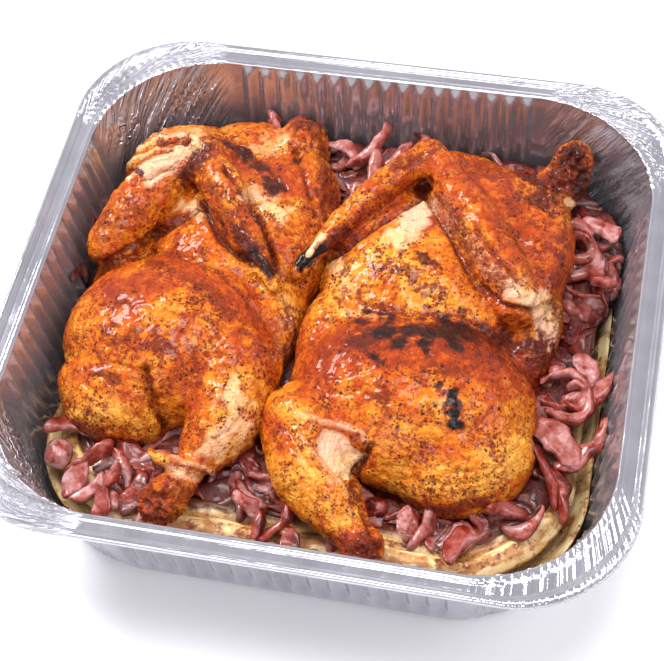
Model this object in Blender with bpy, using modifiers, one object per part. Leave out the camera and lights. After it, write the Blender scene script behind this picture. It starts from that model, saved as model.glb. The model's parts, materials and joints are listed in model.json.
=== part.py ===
"""Foil tray meal: two half roast chickens on soft red onions and flatbread, in a fluted foil tray."""

import math
import random

import bmesh
import bpy
from mathutils import Matrix, Vector
from mathutils.bvhtree import BVHTree

MM = 0.001

# Tray, outside sizes in millimetres
TRAY_WIDTH = 290.0
TRAY_DEPTH = 277.0
TRAY_HEIGHT = 73.0
FOIL = 0.6
RIM_CORNER = 52.0
WALL_TOP_CORNER = 57.0
BASE_CORNER = 59.0
WALL_TOP_INSET = 11.6
WALL_FOOT_INSET = 21.0
WALL_FOOT_HEIGHT = 8.0
BASE_INSET = 27.0
STEP_DROP = 1.3
STEP_WIDTH = 2.0
FLANGE_DROP = 2.3
FLANGE_START = 2.8
FLANGE_END = 0.4
FOOT_BEND = (4.4, 1.5)
FLUTE_END = (0.9, 8.0)
SHOULDER = (0.6, 6.2)
BEAD_RADIUS = 1.9
BEAD_ANGLES = (150.0, 62.0, 0.0, -58.0, -115.0)

# Flutes of the tray wall
FLUTES = 16
FLUTE_DEPTH = 1.7
FLUTED_HALF_WIDTH = 69.0
FLUTED_HALF_DEPTH = 66.0
SIDE_STEP = 8
CORNER_POINTS = 8

# Flatbread, two soft layers that turn up at the tray's wall
BREAD_THICK = 5.0
BREAD_ANGLES = 40
BREAD_RINGS = (0.4, 0.72, 0.86, 0.95, 1.0)
BREAD_BEND = 0.72
BREAD_CLEAR = 0.5
BREAD_LOW_TURN_UP = 12.0
BREAD_HIGH_TURN_UP = 20.5
BREAD_HIGH_SIDE = -50.0
BREAD_STEP_IN = 8.5
BREAD_STEP_RAGGED = 1.5
BREAD_LAYER_RISE = 2.0
BREAD_EDGE_LIFT = 1.0
BREAD_CURVE = 1.6
BREAD_WALL_GAP = 0.3
BREAD_FACING_SHARE = 0.75
BREAD_FRONT_SHARE = 0.45
BREAD_BROAD_WAVE = 1.3
BREAD_FINE_WAVE = 0.8

# Onion bed
BED_TOP = 33.8
BED_RINGS = (0.3, 0.6, 0.8, 0.93, 1.0)
BED_GAP = 2.5
BED_EDGE_DEPTH = 7.0
BED_PROBES = 4
BED_WAVE = 2.2
ONION_SEED = 11
ONION_TRIES = 1800
ONION_PIECES = 36
ONION_THICK = 3.2
ONION_TALL = 7.5
ONION_CLEAR = 0.8
ONION_SPACING = 9.5
ONION_SPREAD = (0.3, 0.97)
ONION_TILT = 38.0
ONION_LIFT = (-1.0, 1.8)
ONION_BEND = (8.0, 15.0)
ONION_SWEEP = (110.0, 250.0)
ONION_SECTION_STEP = 34.0
ONION_END = 0.45

# Chicken halves
BIRD_UNDERSIDE = 34.2
BIRD_VOXEL = 2.4
BIRD_SMOOTHING = 6
BIRD_TRIANGLES = 2450
BIRD_LIMB_STEP = 0.3
PARTING_POINT = (-15.2, 0.0)
PARTING_LEAN = 7.1
PARTING_GAP = 0.3

# Lobes are centre, radii and turn about Z; limbs are centre and radius from joint to joint
RIGHT_LOBES = {
    "thigh": ((41, -35, 43), (56, 43, 32), -6),
    "thigh_end": ((66, -57, 41), (33, 28, 24), 20),
    "breast": ((38, 32, 40), (52, 54, 29), 4),
    "shoulder": ((62, 56, 43), (40, 44, 27), 12),
    "neck_end": ((42, 86, 38), (36, 24, 21), -8),
    "back_edge": ((86, 20, 36), (15, 38, 18), 0),
    "belly": ((4, -6, 37), (22, 34, 22), 0),
}
RIGHT_LIMBS = {
    "drumstick": (((-2, -57, 46), 21), ((5, -78, 47), 18.5), ((20, -96, 47), 12.5), ((29, -105, 47), 8.5),
                  ((33, -109, 47), 9.5)),
    "forearm": (((28, 90, 64), 8), ((51, 58, 70), 10), ((73, 24, 66), 12.5), ((79, 15, 62), 11)),
    "wing_tip": (((28, 90, 64), 8), ((11, 69, 65), 8), ((-5, 46, 62), 6.5), ((-15, 30, 58), 5.4)),
    "upper_wing": (((80, 16, 57), 13), ((87, 40, 54), 15), ((82, 68, 51), 16)),
    "shoulder_knob": (((84, 88, 42), 13), ((92, 98, 47), 10.5), ((95, 105, 54), 9.5)),
}
LEFT_LOBES = {
    "thigh": ((-74, -21, 43), (49, 43, 32), 8),
    "thigh_end": ((-89, -49, 40), (30, 26, 24), -10),
    "breast": ((-54, 38, 39), (44, 52, 28), -20),
    "chest": ((-40, 58, 38), (25, 42, 24), -14),
    "neck_end": ((-40, 98, 38), (15, 21, 19), -12),
    "back": ((-90, 76, 39), (32, 30, 24), 25),
    "back_middle": ((-62, 91, 36), (30, 25, 19), 0),
    "flank": ((-104, 12, 38), (16, 26, 15), 0),
    "belly": ((-36, 4, 37), (21, 36, 21), 0),
}
LEFT_LIMBS = {
    "drumstick": (((-39, -34, 47), 22), ((-37, -53, 47), 19.5), ((-41, -68, 46), 14.5), ((-46, -80, 46), 8.5)),
    "shank": (((-46, -80, 46), 7.5), ((-51.5, -95, 46), 7.5), ((-55.5, -104, 46.5), 10)),
    "forearm": (((-112, 21, 54), 12), ((-104, 38, 60), 14), ((-92, 60, 64), 13), ((-80, 72, 66), 9)),
    "wing_tip": (((-79, 70, 69), 10), ((-61, 47.5, 70), 10), ((-43.5, 23, 66.5), 7), ((-35, 11.5, 62.5), 4.6),
                 ((-29.5, 5, 60), 2.8)),
}


def clear_scene():
    """Empty the file and return the collection for the finished pieces."""
    for obj in list(bpy.data.objects):
        bpy.data.objects.remove(obj, do_unlink=True)
    collection = bpy.data.collections.new("foil_tray_meal")
    bpy.context.scene.collection.children.link(collection)
    return collection


def material(name, colour, roughness, metallic=0.0):
    """Make a plain Principled material."""
    result = bpy.data.materials.new(name)
    result.use_nodes = True
    shader = result.node_tree.nodes["Principled BSDF"]
    shader.inputs["Base Color"].default_value = (*colour, 1.0)
    shader.inputs["Roughness"].default_value = roughness
    shader.inputs["Metallic"].default_value = metallic
    return result


def object_from_bmesh(name, bm, collection):
    """Turn a bmesh in millimetres into an object in metres."""
    bmesh.ops.transform(bm, matrix=Matrix.Scale(MM, 4), verts=bm.verts)
    mesh = bpy.data.meshes.new(name)
    bm.to_mesh(mesh)
    bm.free()
    obj = bpy.data.objects.new(name, mesh)
    collection.objects.link(obj)
    return obj


def bake_modifiers(obj):
    """Replace an object's mesh by its evaluated one and drop its modifiers."""
    depsgraph = bpy.context.evaluated_depsgraph_get()
    mesh = bpy.data.meshes.new_from_object(obj.evaluated_get(depsgraph))
    obj.modifiers.clear()
    obj.data = mesh


def keep_largest(obj):
    """Drop any loose scrap that a union left, keeping the largest body."""
    bm = bmesh.new()
    bm.from_mesh(obj.data)
    waiting = set(bm.verts)
    bodies = []
    while waiting:
        front = [waiting.pop()]
        body = list(front)
        while front:
            vert = front.pop()
            near = [edge.other_vert(vert) for edge in vert.link_edges]
            fresh = [other for other in near if other in waiting]
            waiting.difference_update(fresh)
            front += fresh
            body += fresh
        bodies.append(body)
    bodies.sort(key=len)
    bmesh.ops.delete(bm, geom=[vert for body in bodies[:-1] for vert in body], context="VERTS")
    bm.to_mesh(obj.data)
    bm.free()


def tree_of(obj):
    """Return a search tree of an object's mesh."""
    bm = bmesh.new()
    bm.from_mesh(obj.data)
    tree = BVHTree.FromBMesh(bm)
    bm.free()
    return tree


def corner_radius(inset):
    """Plan radius of the tray's corner at a distance in from the rim's outer edge."""
    upper = min(1.0, inset / WALL_TOP_INSET)
    lower = max(0.0, (inset - WALL_TOP_INSET) / (WALL_FOOT_INSET - WALL_TOP_INSET))
    radius = RIM_CORNER + upper * (WALL_TOP_CORNER - RIM_CORNER)
    return radius + min(1.0, lower) * (BASE_CORNER - WALL_TOP_CORNER)


def side_offset(along, half_along, half_across, radius):
    """Distance of the ring's side from the centre line at a place along it."""
    past = max(0.0, abs(along) - (half_along - radius))
    return half_across - (radius - math.sqrt(max(0.0, radius * radius - past * past)))


def corner_run(half_x, half_y, radius):
    """Points of the front right corner, from the fluted front to the fluted right side."""
    start = math.asin(max(0.0, (FLUTED_HALF_WIDTH - (half_x - radius)) / radius))
    end = math.asin(max(0.0, (FLUTED_HALF_DEPTH - (half_y - radius)) / radius))
    first = max(0.0, half_x - radius - FLUTED_HALF_WIDTH)
    last = max(0.0, half_y - radius - FLUTED_HALF_DEPTH)
    arc = radius * (math.pi / 2 - start - end)
    points = []
    for index in range(1, CORNER_POINTS + 1):
        run = (first + arc + last) * index / (CORNER_POINTS + 1)
        if run < first:
            points.append((FLUTED_HALF_WIDTH + run, -half_y))
        elif run < first + arc:
            angle = start + (run - first) / radius
            x = half_x - radius + radius * math.sin(angle)
            points.append((x, -(half_y - radius + radius * math.cos(angle))))
        else:
            points.append((half_x, -(FLUTED_HALF_DEPTH + (first + arc + last - run))))
    return points


def tray_ring(inset, z, flute):
    """One ring of the tray as points, with flutes that stand inward on each side."""
    half_x = TRAY_WIDTH / 2 - inset
    half_y = TRAY_DEPTH / 2 - inset
    radius = corner_radius(inset)
    front = []
    right = []
    for index in range(2 * FLUTES + 1):
        rib = flute if index % 2 else 0.0
        x = FLUTED_HALF_WIDTH * (index / FLUTES - 1.0)
        y = FLUTED_HALF_DEPTH * (index / FLUTES - 1.0)
        front.append((x, -(side_offset(x, half_x, half_y, radius) - rib)))
        right.append((side_offset(y, half_y, half_x, radius) - rib, y))
    corner = corner_run(half_x, half_y, radius)
    back_corner = [(x, -y) for x, y in reversed(corner)]
    half = front + corner + right + back_corner
    other_half = [(-x, -y) for x, y in half]
    return [Vector((x, y, z)) for x, y in half + other_half]


def coarse_places():
    """Indices in a tray ring that a ring without flutes keeps."""
    side = list(range(0, 2 * FLUTES + 1, SIDE_STEP))
    corner = list(range(2 * FLUTES + 1, 2 * FLUTES + 1 + CORNER_POINTS))
    quarter = 2 * FLUTES + 1 + CORNER_POINTS
    return [quarter * turn + place for turn in range(4) for place in side + corner]


def join_rings(bm, lower, upper):
    """Fill the strip between two rings of vertices kept by place, either of which may be coarse."""
    count = 4 * (2 * FLUTES + 1 + CORNER_POINTS)
    both = [place for place in sorted(lower) if place in upper]
    for here, there in zip(both, both[1:] + both[:1]):
        span = (there - here) % count
        places = [(here + step) % count for step in range(span + 1)]
        low = [lower[place] for place in places if place in lower]
        high = [upper[place] for place in places if place in upper]
        if len(low) == len(high):
            bm.faces.new((low[0], low[-1], high[-1], high[0]))
            continue
        fine, few = (high, low) if len(high) > len(low) else (low, high)
        middle = len(fine) // 2
        faces = [(few[0], fine[index + 1], fine[index]) for index in range(middle)]
        faces.append((few[0], few[-1], fine[middle]))
        faces += [(few[-1], fine[index + 1], fine[index]) for index in range(middle, len(fine) - 1)]
        for face in faces:
            bm.faces.new(face if fine is high else tuple(reversed(face)))


def tray_profile():
    """Rings of the tray from the floor up the wall and round the rim: inset, height, flute, coarse."""
    step_height = TRAY_HEIGHT - STEP_DROP - FOIL
    flange_height = TRAY_HEIGHT - FLANGE_DROP - FOIL
    profile = [
        (BASE_INSET, 0.0, 0.0, True),
        (BASE_INSET - FOOT_BEND[0], FOOT_BEND[1], 0.0, True),
        (WALL_FOOT_INSET, WALL_FOOT_HEIGHT, FLUTE_DEPTH, False),
        (WALL_TOP_INSET + FLUTE_END[0], TRAY_HEIGHT - FLUTE_END[1], FLUTE_DEPTH, False),
        (WALL_TOP_INSET + SHOULDER[0], TRAY_HEIGHT - SHOULDER[1], 0.0, False),
        (WALL_TOP_INSET, step_height, 0.0, True),
        (WALL_TOP_INSET - STEP_WIDTH, step_height, 0.0, True),
        (WALL_TOP_INSET - FLANGE_START, flange_height, 0.0, True),
        (2 * BEAD_RADIUS + FLANGE_END, flange_height, 0.0, True),
    ]
    core = BEAD_RADIUS - FOIL
    for angle in BEAD_ANGLES:
        turn = math.radians(angle)
        inset = BEAD_RADIUS - core * math.cos(turn)
        profile.append((inset, TRAY_HEIGHT - BEAD_RADIUS + core * math.sin(turn), 0.0, True))
    return profile


def build_tray(collection):
    """Pressed foil tray with fluted walls and a rolled rim."""
    bm = bmesh.new()
    coarse = coarse_places()
    rings = []
    for inset, z, flute, is_coarse in tray_profile():
        points = tray_ring(inset, z, flute)
        places = coarse if is_coarse else range(len(points))
        rings.append({place: bm.verts.new(points[place]) for place in places})
    bm.faces.new([rings[0][place] for place in sorted(rings[0], reverse=True)])
    for lower, upper in zip(rings, rings[1:]):
        join_rings(bm, lower, upper)
    bmesh.ops.recalc_face_normals(bm, faces=bm.faces)
    bm.faces.ensure_lookup_table()
    if bm.faces[0].normal.z > 0:
        bmesh.ops.reverse_faces(bm, faces=bm.faces)
    tray = object_from_bmesh("foil_tray", bm, collection)
    shell = tray.modifiers.new("Foil", "SOLIDIFY")
    shell.thickness = FOIL * MM
    shell.offset = -1.0
    tray.data.materials.append(material("Foil", (0.80, 0.80, 0.82), 0.28, 1.0))
    bake_modifiers(tray)
    return tray


def wall_inset(z):
    """Inset of the tray wall's outer face at a height."""
    share = (z - WALL_FOOT_HEIGHT) / (TRAY_HEIGHT - WALL_FOOT_HEIGHT - 3.0)
    return WALL_FOOT_INSET + min(1.0, max(-0.12, share)) * (WALL_TOP_INSET - WALL_FOOT_INSET)


def rounded_distance(x, y, half_x, half_y, radius):
    """Signed distance from a rounded rectangle, negative inside."""
    over_x = abs(x) - half_x + radius
    over_y = abs(y) - half_y + radius
    outside = math.hypot(max(over_x, 0.0), max(over_y, 0.0))
    return outside + min(max(over_x, over_y), 0.0) - radius


def reach(angle, z, clear):
    """Distance from the tray's middle to its inner wall at a height, less a clearance."""
    inset = wall_inset(z) + FLUTE_DEPTH + FOIL + clear
    half_x = TRAY_WIDTH / 2 - inset
    half_y = TRAY_DEPTH / 2 - inset
    low, high = 0.0, TRAY_WIDTH
    for _ in range(40):
        middle = (low + high) / 2
        x, y = middle * math.cos(angle), middle * math.sin(angle)
        if rounded_distance(x, y, half_x, half_y, corner_radius(inset)) < 0:
            low = middle
        else:
            high = middle
    return low


def turn_up(angle):
    """Height that the flatbread's edge turns up at an angle, most at the front right."""
    facing = 0.5 + 0.5 * math.cos(angle - math.radians(BREAD_HIGH_SIDE))
    front = max(0.0, -math.sin(angle))
    share = min(1.0, BREAD_FACING_SHARE * facing + BREAD_FRONT_SHARE * front)
    wave = BREAD_BROAD_WAVE * math.sin(5 * angle + 0.6) + BREAD_FINE_WAVE * math.sin(9 * angle)
    return BREAD_LOW_TURN_UP + share * (BREAD_HIGH_TURN_UP - BREAD_LOW_TURN_UP) + wave


def bread_edge(angle, layer):
    """Outer distance and edge height of a flatbread layer at an angle."""
    rise = layer * (BREAD_THICK + BREAD_CLEAR + BREAD_LAYER_RISE)
    height = BREAD_EDGE_LIFT + rise + turn_up(angle)
    ragged = layer * (BREAD_STEP_IN + BREAD_STEP_RAGGED * math.sin(3 * angle + 1.0))
    return reach(angle, height, BREAD_CLEAR + BREAD_WALL_GAP) - ragged, height


def build_flatbread(name, layer, colour, collection):
    """One flatbread layer, flat on what is under it and turned up round its edge."""
    floor = FOIL + BREAD_CLEAR + layer * (BREAD_THICK + 2 * BREAD_CLEAR)
    bm = bmesh.new()
    centre = bm.verts.new((0.0, 0.0, floor))
    rings = []
    for share in BREAD_RINGS:
        bend = max(0.0, (share - BREAD_BEND) / (1.0 - BREAD_BEND))
        ring = []
        for index in range(BREAD_ANGLES):
            angle = 2 * math.pi * index / BREAD_ANGLES
            distance, height = bread_edge(angle, layer)
            z = floor + (height - floor) * bend ** BREAD_CURVE
            ring.append(bm.verts.new((share * distance * math.cos(angle), share * distance * math.sin(angle), z)))
        rings.append(ring)
    for index in range(BREAD_ANGLES):
        after = (index + 1) % BREAD_ANGLES
        bm.faces.new((centre, rings[0][after], rings[0][index]))
        for inner, outer in zip(rings, rings[1:]):
            bm.faces.new((inner[index], inner[after], outer[after], outer[index]))
    bread = object_from_bmesh(name, bm, collection)
    shell = bread.modifiers.new("Dough", "SOLIDIFY")
    shell.thickness = BREAD_THICK * MM
    shell.offset = -1.0
    bread.data.materials.append(material(name.replace("_", " ").capitalize(), colour, 0.6))
    bake_modifiers(bread)
    return bread


def soft_form(name, lobes, limbs, collection):
    """Join lobes and limbs into one skin, smooth it and thin its triangles."""
    bm = bmesh.new()
    for centre, radii, turn in lobes.values():
        place = Matrix.Translation(centre) @ Matrix.Rotation(math.radians(turn), 4, "Z")
        bmesh.ops.create_icosphere(bm, subdivisions=4, radius=1.0, matrix=place @ Matrix.Diagonal((*radii, 1.0)))
    for joints in limbs.values():
        for (start, start_radius), (end, end_radius) in zip(joints, joints[1:]):
            length = (Vector(end) - Vector(start)).length
            steps = max(2, int(length / (BIRD_LIMB_STEP * min(start_radius, end_radius))))
            for step in range(steps + 1):
                share = step / steps
                radius = start_radius + share * (end_radius - start_radius)
                place = Matrix.Translation(Vector(start).lerp(Vector(end), share))
                bmesh.ops.create_icosphere(bm, subdivisions=2, radius=radius, matrix=place)
    form = object_from_bmesh(name, bm, collection)
    skin = form.modifiers.new("Skin", "REMESH")
    skin.mode = "VOXEL"
    skin.voxel_size = BIRD_VOXEL * MM
    soft = form.modifiers.new("Soft", "SMOOTH")
    soft.iterations = BIRD_SMOOTHING
    bake_modifiers(form)
    thin = form.modifiers.new("Thin", "DECIMATE")
    triangles = sum(len(face.vertices) - 2 for face in form.data.polygons)
    thin.ratio = BIRD_TRIANGLES / triangles
    bake_modifiers(form)
    return form


def cut_flat(obj, point, normal):
    """Cut away what lies beyond a plane and close the cut."""
    bm = bmesh.new()
    bm.from_mesh(obj.data)
    geometry = bm.verts[:] + bm.edges[:] + bm.faces[:]
    cut = bmesh.ops.bisect_plane(bm, geom=geometry, dist=1e-7, plane_co=Vector(point) * MM,
                                 plane_no=Vector(normal), clear_outer=True)
    edges = [item for item in cut["geom_cut"] if isinstance(item, bmesh.types.BMEdge)]
    bmesh.ops.holes_fill(bm, edges=edges)
    bmesh.ops.dissolve_degenerate(bm, dist=1e-6, edges=bm.edges[:])
    bmesh.ops.triangulate(bm, faces=bm.faces[:])
    bm.to_mesh(obj.data)
    bm.free()


def build_chicken_half(name, lobes, limbs, side, colour, collection):
    """One half chicken, flat where it lies and pressed flat where the halves meet."""
    half = soft_form(name, lobes, limbs, collection)
    lean = math.radians(PARTING_LEAN)
    outward = Vector((-side * math.cos(lean), side * math.sin(lean), 0.0))
    edge = Vector((*PARTING_POINT, 0.0)) - outward * PARTING_GAP
    cut_flat(half, edge, outward)
    cut_flat(half, (0.0, 0.0, BIRD_UNDERSIDE), (0.0, 0.0, -1.0))
    half.data.materials.append(material(name.replace("_", " ").capitalize(), colour, 0.35))
    return half


def bread_top(tree, angle, distance):
    """Height of the flatbread's upper face at a place, or of its edge where the place lies past it."""
    while distance > 0.0:
        place = Vector((distance * math.cos(angle), distance * math.sin(angle), TRAY_HEIGHT))
        hit = tree.ray_cast(place * MM, Vector((0.0, 0.0, -1.0)))[0]
        if hit:
            return hit.z / MM
        distance -= 1.0
    return 0.0


def bed_edge(tree, angle):
    """Distance from the middle to the onion bed's edge, drawn in where the flatbread turns up high."""
    distance = reach(angle, BED_TOP - BED_EDGE_DEPTH, BREAD_CLEAR + BREAD_WALL_GAP)
    while bread_top(tree, angle, distance) > BED_TOP - BED_EDGE_DEPTH:
        distance -= 0.5
    return distance


def highest_bread(tree, angle, inner, outer):
    """Highest point of the flatbread's upper face along a stretch outward from the middle."""
    stretch = (outer - inner) / BED_PROBES
    return max(bread_top(tree, angle, inner + stretch * step) for step in range(BED_PROBES + 1))


def bed_underside(tree, edges):
    """Heights of the bed's underside for each ring and angle, clear of the flatbread all round."""
    stops = (0.0,) + BED_RINGS + (1.0,)
    rows = []
    for inner, outer in zip(stops, stops[2:]):
        row = []
        for index, edge in enumerate(edges):
            angle = 2 * math.pi * index / BREAD_ANGLES
            row.append(highest_bread(tree, angle, inner * edge, outer * edge) + BED_GAP)
        rows.append([max(row[index - 1], row[index], row[(index + 1) % len(row)]) for index in range(len(row))])
    return rows


def build_bed_core(bread_tree):
    """Closed core of the onion bed, lying on the flatbread."""
    bm = bmesh.new()
    found = [bed_edge(bread_tree, 2 * math.pi * index / BREAD_ANGLES) for index in range(BREAD_ANGLES)]
    edges = [min(found[index - 1], found[index], found[(index + 1) % BREAD_ANGLES]) for index in range(BREAD_ANGLES)]
    lows = bed_underside(bread_tree, edges)
    rings = []
    for share, row in zip(BED_RINGS, lows):
        ring = []
        for index in range(BREAD_ANGLES):
            angle = 2 * math.pi * index / BREAD_ANGLES
            distance = edges[index] * share
            x, y = distance * math.cos(angle), distance * math.sin(angle)
            wave = BED_WAVE * (0.5 + 0.5 * math.sin(7 * angle + 9 * share)) * share
            ring.append((bm.verts.new((x, y, row[index])), bm.verts.new((x, y, BED_TOP - wave))))
        rings.append(ring)
    middle_low = bm.verts.new((0.0, 0.0, bread_top(bread_tree, 0.0, 1.0) + BED_GAP))
    middle_top = bm.verts.new((0.0, 0.0, BED_TOP))
    for index in range(BREAD_ANGLES):
        after = (index + 1) % BREAD_ANGLES
        bm.faces.new((middle_low, rings[0][after][0], rings[0][index][0]))
        bm.faces.new((middle_top, rings[0][index][1], rings[0][after][1]))
        for inner, outer in zip(rings, rings[1:]):
            bm.faces.new((inner[index][0], inner[after][0], outer[after][0], outer[index][0]))
            bm.faces.new((inner[after][1], inner[index][1], outer[index][1], outer[after][1]))
        edge = rings[-1]
        bm.faces.new((edge[index][0], edge[after][0], edge[after][1], edge[index][1]))
    return bm


def onion_strip(rng):
    """One curved onion strip as a closed bmesh: a bent bar of four sides."""
    bend_radius = rng.uniform(*ONION_BEND)
    sweep = math.radians(rng.uniform(*ONION_SWEEP))
    steps = max(4, int(sweep / math.radians(ONION_SECTION_STEP)))
    thick = ONION_THICK * rng.uniform(0.8, 1.1)
    tall = ONION_TALL * rng.uniform(0.7, 1.1)
    bm = bmesh.new()
    sections = []
    for index in range(steps + 1):
        share = index / steps
        angle = sweep * (share - 0.5)
        taper = ONION_END + (1.0 - ONION_END) * math.sin(math.pi * (0.12 + 0.76 * share))
        section = []
        for out, up in ((-1, -1), (1, -1), (1, 1), (-1, 1)):
            distance = bend_radius + out * thick * taper / 2
            section.append(bm.verts.new((distance * math.cos(angle) - bend_radius * 0.6,
                                         distance * math.sin(angle), up * tall * taper / 2)))
        sections.append(section)
    for here, there in zip(sections, sections[1:]):
        for index in range(4):
            after = (index + 1) % 4
            bm.faces.new((here[index], here[after], there[after], there[index]))
    bm.faces.new(list(reversed(sections[0])))
    bm.faces.new(sections[-1])
    bmesh.ops.recalc_face_normals(bm, faces=bm.faces)
    return bm


def build_onions(bread, others, collection):
    """Onion bed: a core with the strips that show fused on, clear of what lies round it."""
    rng = random.Random(ONION_SEED)
    bread_tree = tree_of(bread)
    bed = object_from_bmesh("onion_bed", build_bed_core(bread_tree), collection)
    trees = [tree_of(other) for other in others]
    pieces = bpy.data.collections.new("onion_pieces")
    bpy.context.scene.collection.children.link(pieces)
    placed = []
    for _ in range(ONION_TRIES):
        angle = rng.uniform(0.0, 2 * math.pi)
        distance = bed_edge(bread_tree, angle) * math.sqrt(rng.uniform(*ONION_SPREAD))
        x, y = distance * math.cos(angle), distance * math.sin(angle)
        strip = onion_strip(rng)
        tilt = Matrix.Rotation(math.radians(rng.uniform(-ONION_TILT, ONION_TILT)), 4, "X")
        turn = Matrix.Rotation(rng.uniform(0.0, 2 * math.pi), 4, "Z")
        lift = BED_TOP - BED_WAVE / 2 + rng.uniform(*ONION_LIFT)
        bmesh.ops.transform(strip, matrix=Matrix.Translation((x, y, lift)) @ turn @ tilt, verts=strip.verts)
        near = any((Vector((x, y)) - spot).length < ONION_SPACING for spot in placed)
        if near or len(placed) >= ONION_PIECES or not is_clear(strip, trees):
            strip.free()
            continue
        placed.append(Vector((x, y)))
        piece = object_from_bmesh("onion_strip", strip, pieces)
        piece.hide_render = True
        piece.display_type = "WIRE"
    join = bed.modifiers.new("Fuse", "BOOLEAN")
    join.operation = "UNION"
    join.operand_type = "COLLECTION"
    join.collection = pieces
    join.solver = "MANIFOLD"
    bake_modifiers(bed)
    keep_largest(bed)
    for piece in list(pieces.objects):
        bpy.data.objects.remove(piece, do_unlink=True)
    bpy.data.collections.remove(pieces)
    bed.data.materials.clear()
    bed.data.materials.append(material("Onion bed", (0.42, 0.14, 0.13), 0.3))
    return bed


def is_clear(strip, trees):
    """Whether a piece keeps its clearance from all the other solids."""
    centre = Vector((0.0, 0.0, 0.0))
    for vert in strip.verts:
        centre += vert.co / len(strip.verts)
    probes = [vert.co for vert in strip.verts]
    probes += [(edge.verts[0].co + edge.verts[1].co) / 2 for edge in strip.edges]
    for tree in trees:
        for probe in probes:
            place = probe * MM
            found, normal, _, gap = tree.find_nearest(place)
            if gap < ONION_CLEAR * MM or (place - found).dot(normal) < 0:
                return False
    return True


def main():
    """Build the meal from the tray up."""
    collection = clear_scene()
    tray = build_tray(collection)
    lower = build_flatbread("flatbread_lower", 0, (0.72, 0.56, 0.34), collection)
    upper = build_flatbread("flatbread_upper", 1, (0.78, 0.62, 0.38), collection)
    right = build_chicken_half("chicken_half_right", RIGHT_LOBES, RIGHT_LIMBS, 1, (0.62, 0.24, 0.05), collection)
    left = build_chicken_half("chicken_half_left", LEFT_LOBES, LEFT_LIMBS, -1, (0.62, 0.26, 0.06), collection)
    build_onions(upper, (tray, lower, upper, right, left), collection)


main()
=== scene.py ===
"""Foil tray meal: the finishes and fine forms of two half roast chickens on onions and flatbread."""

import json
import logging
import math
import random
from collections.abc import Callable
from dataclasses import dataclass, field
from enum import Enum
from functools import partial

import bmesh
import bpy
import numpy as np
from mathutils import Matrix, Vector, noise
from mathutils.bvhtree import BVHTree

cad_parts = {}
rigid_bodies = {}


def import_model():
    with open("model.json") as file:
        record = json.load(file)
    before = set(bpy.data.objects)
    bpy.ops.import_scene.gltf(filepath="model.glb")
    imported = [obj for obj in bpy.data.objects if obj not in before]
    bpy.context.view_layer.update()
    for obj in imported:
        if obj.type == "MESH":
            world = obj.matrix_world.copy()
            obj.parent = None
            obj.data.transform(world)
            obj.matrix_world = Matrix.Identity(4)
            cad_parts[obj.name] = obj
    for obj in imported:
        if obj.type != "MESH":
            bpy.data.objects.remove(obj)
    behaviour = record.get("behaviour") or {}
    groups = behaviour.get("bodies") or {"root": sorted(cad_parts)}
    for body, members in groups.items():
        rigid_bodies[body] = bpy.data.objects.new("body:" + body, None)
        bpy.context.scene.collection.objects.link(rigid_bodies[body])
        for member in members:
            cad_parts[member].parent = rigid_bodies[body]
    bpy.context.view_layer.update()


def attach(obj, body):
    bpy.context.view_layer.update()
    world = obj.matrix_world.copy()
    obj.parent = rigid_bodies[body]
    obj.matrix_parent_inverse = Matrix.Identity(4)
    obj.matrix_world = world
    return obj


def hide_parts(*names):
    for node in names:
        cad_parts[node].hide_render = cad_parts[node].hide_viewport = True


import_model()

MM = 0.001
LOG = logging.getLogger("foil_tray_meal")
Pixel = tuple[float, float]
Point = tuple[float, float, float]
Limb = tuple[tuple[Point, float], ...]
Socket = bpy.types.NodeSocket
AddNode = Callable[..., Socket]

ATTRIBUTE, BUMP, CELLS = "ShaderNodeAttribute", "ShaderNodeBump", "ShaderNodeTexVoronoi"
MATH, MIX, NOISE = "ShaderNodeMath", "ShaderNodeMix", "ShaderNodeTexNoise"
PLACE, RAMP, RANGE = "ShaderNodeTexCoord", "ShaderNodeValToRGB", "ShaderNodeMapRange"
SPLIT = "ShaderNodeSeparateXYZ"
NOISE_SPREAD = (0.3, 0.7)


def linear(colour: str) -> tuple[float, float, float, float]:
    """Turn an sRGB hex colour into linear red, green, blue and alpha.

    Args:
        colour: The colour as "#rrggbb".

    Returns:
        The four linear values, with alpha 1.
    """
    values = [int(colour[place:place + 2], 16) / 255 for place in (1, 3, 5)]
    return (*(v / 12.92 if v <= 0.04045 else ((v + 0.055) / 1.055) ** 2.4 for v in values), 1.0)


def set_inputs(node: bpy.types.Node, inputs: dict) -> None:
    """Link or set a node's inputs.

    Args:
        node: The node.
        inputs: Sockets, plain values or sRGB hex colours, by the input's name or place.
    """
    for key, value in inputs.items():
        if isinstance(value, Socket):
            node.id_data.links.new(value, node.inputs[key])
        else:
            hexed = isinstance(value, str) and value.startswith("#")
            node.inputs[key].default_value = linear(value) if hexed else value


def add_node(tree: bpy.types.NodeTree, kind: str, *values, named: dict | None = None, out: int | str = 0,
             stops: tuple[tuple[float, str], ...] = (), **settings) -> Socket | None:
    """Add a node to a tree.

    Args:
        tree: The node tree.
        kind: The node's type name.
        values: Sockets or values for its first inputs, in order.
        named: Sockets or values for other inputs, by name or place.
        out: The output that is wanted, by name or place.
        stops: Places from 0 to 1 and sRGB hex colours of a colour ramp.
        settings: The node's own properties.

    Returns:
        The wanted output, if the node has any.
    """
    node = tree.nodes.new(kind)
    for name, value in settings.items():
        setattr(node, name, value)
    set_inputs(node, {**dict(enumerate(values)), **(named or {})})
    for index, (place, colour) in enumerate(stops):
        elements = node.color_ramp.elements
        element = elements[index] if index < 2 else elements.new(1.0)
        element.position = place
        element.color = linear(colour)
    return node.outputs[out] if node.outputs else None


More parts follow.
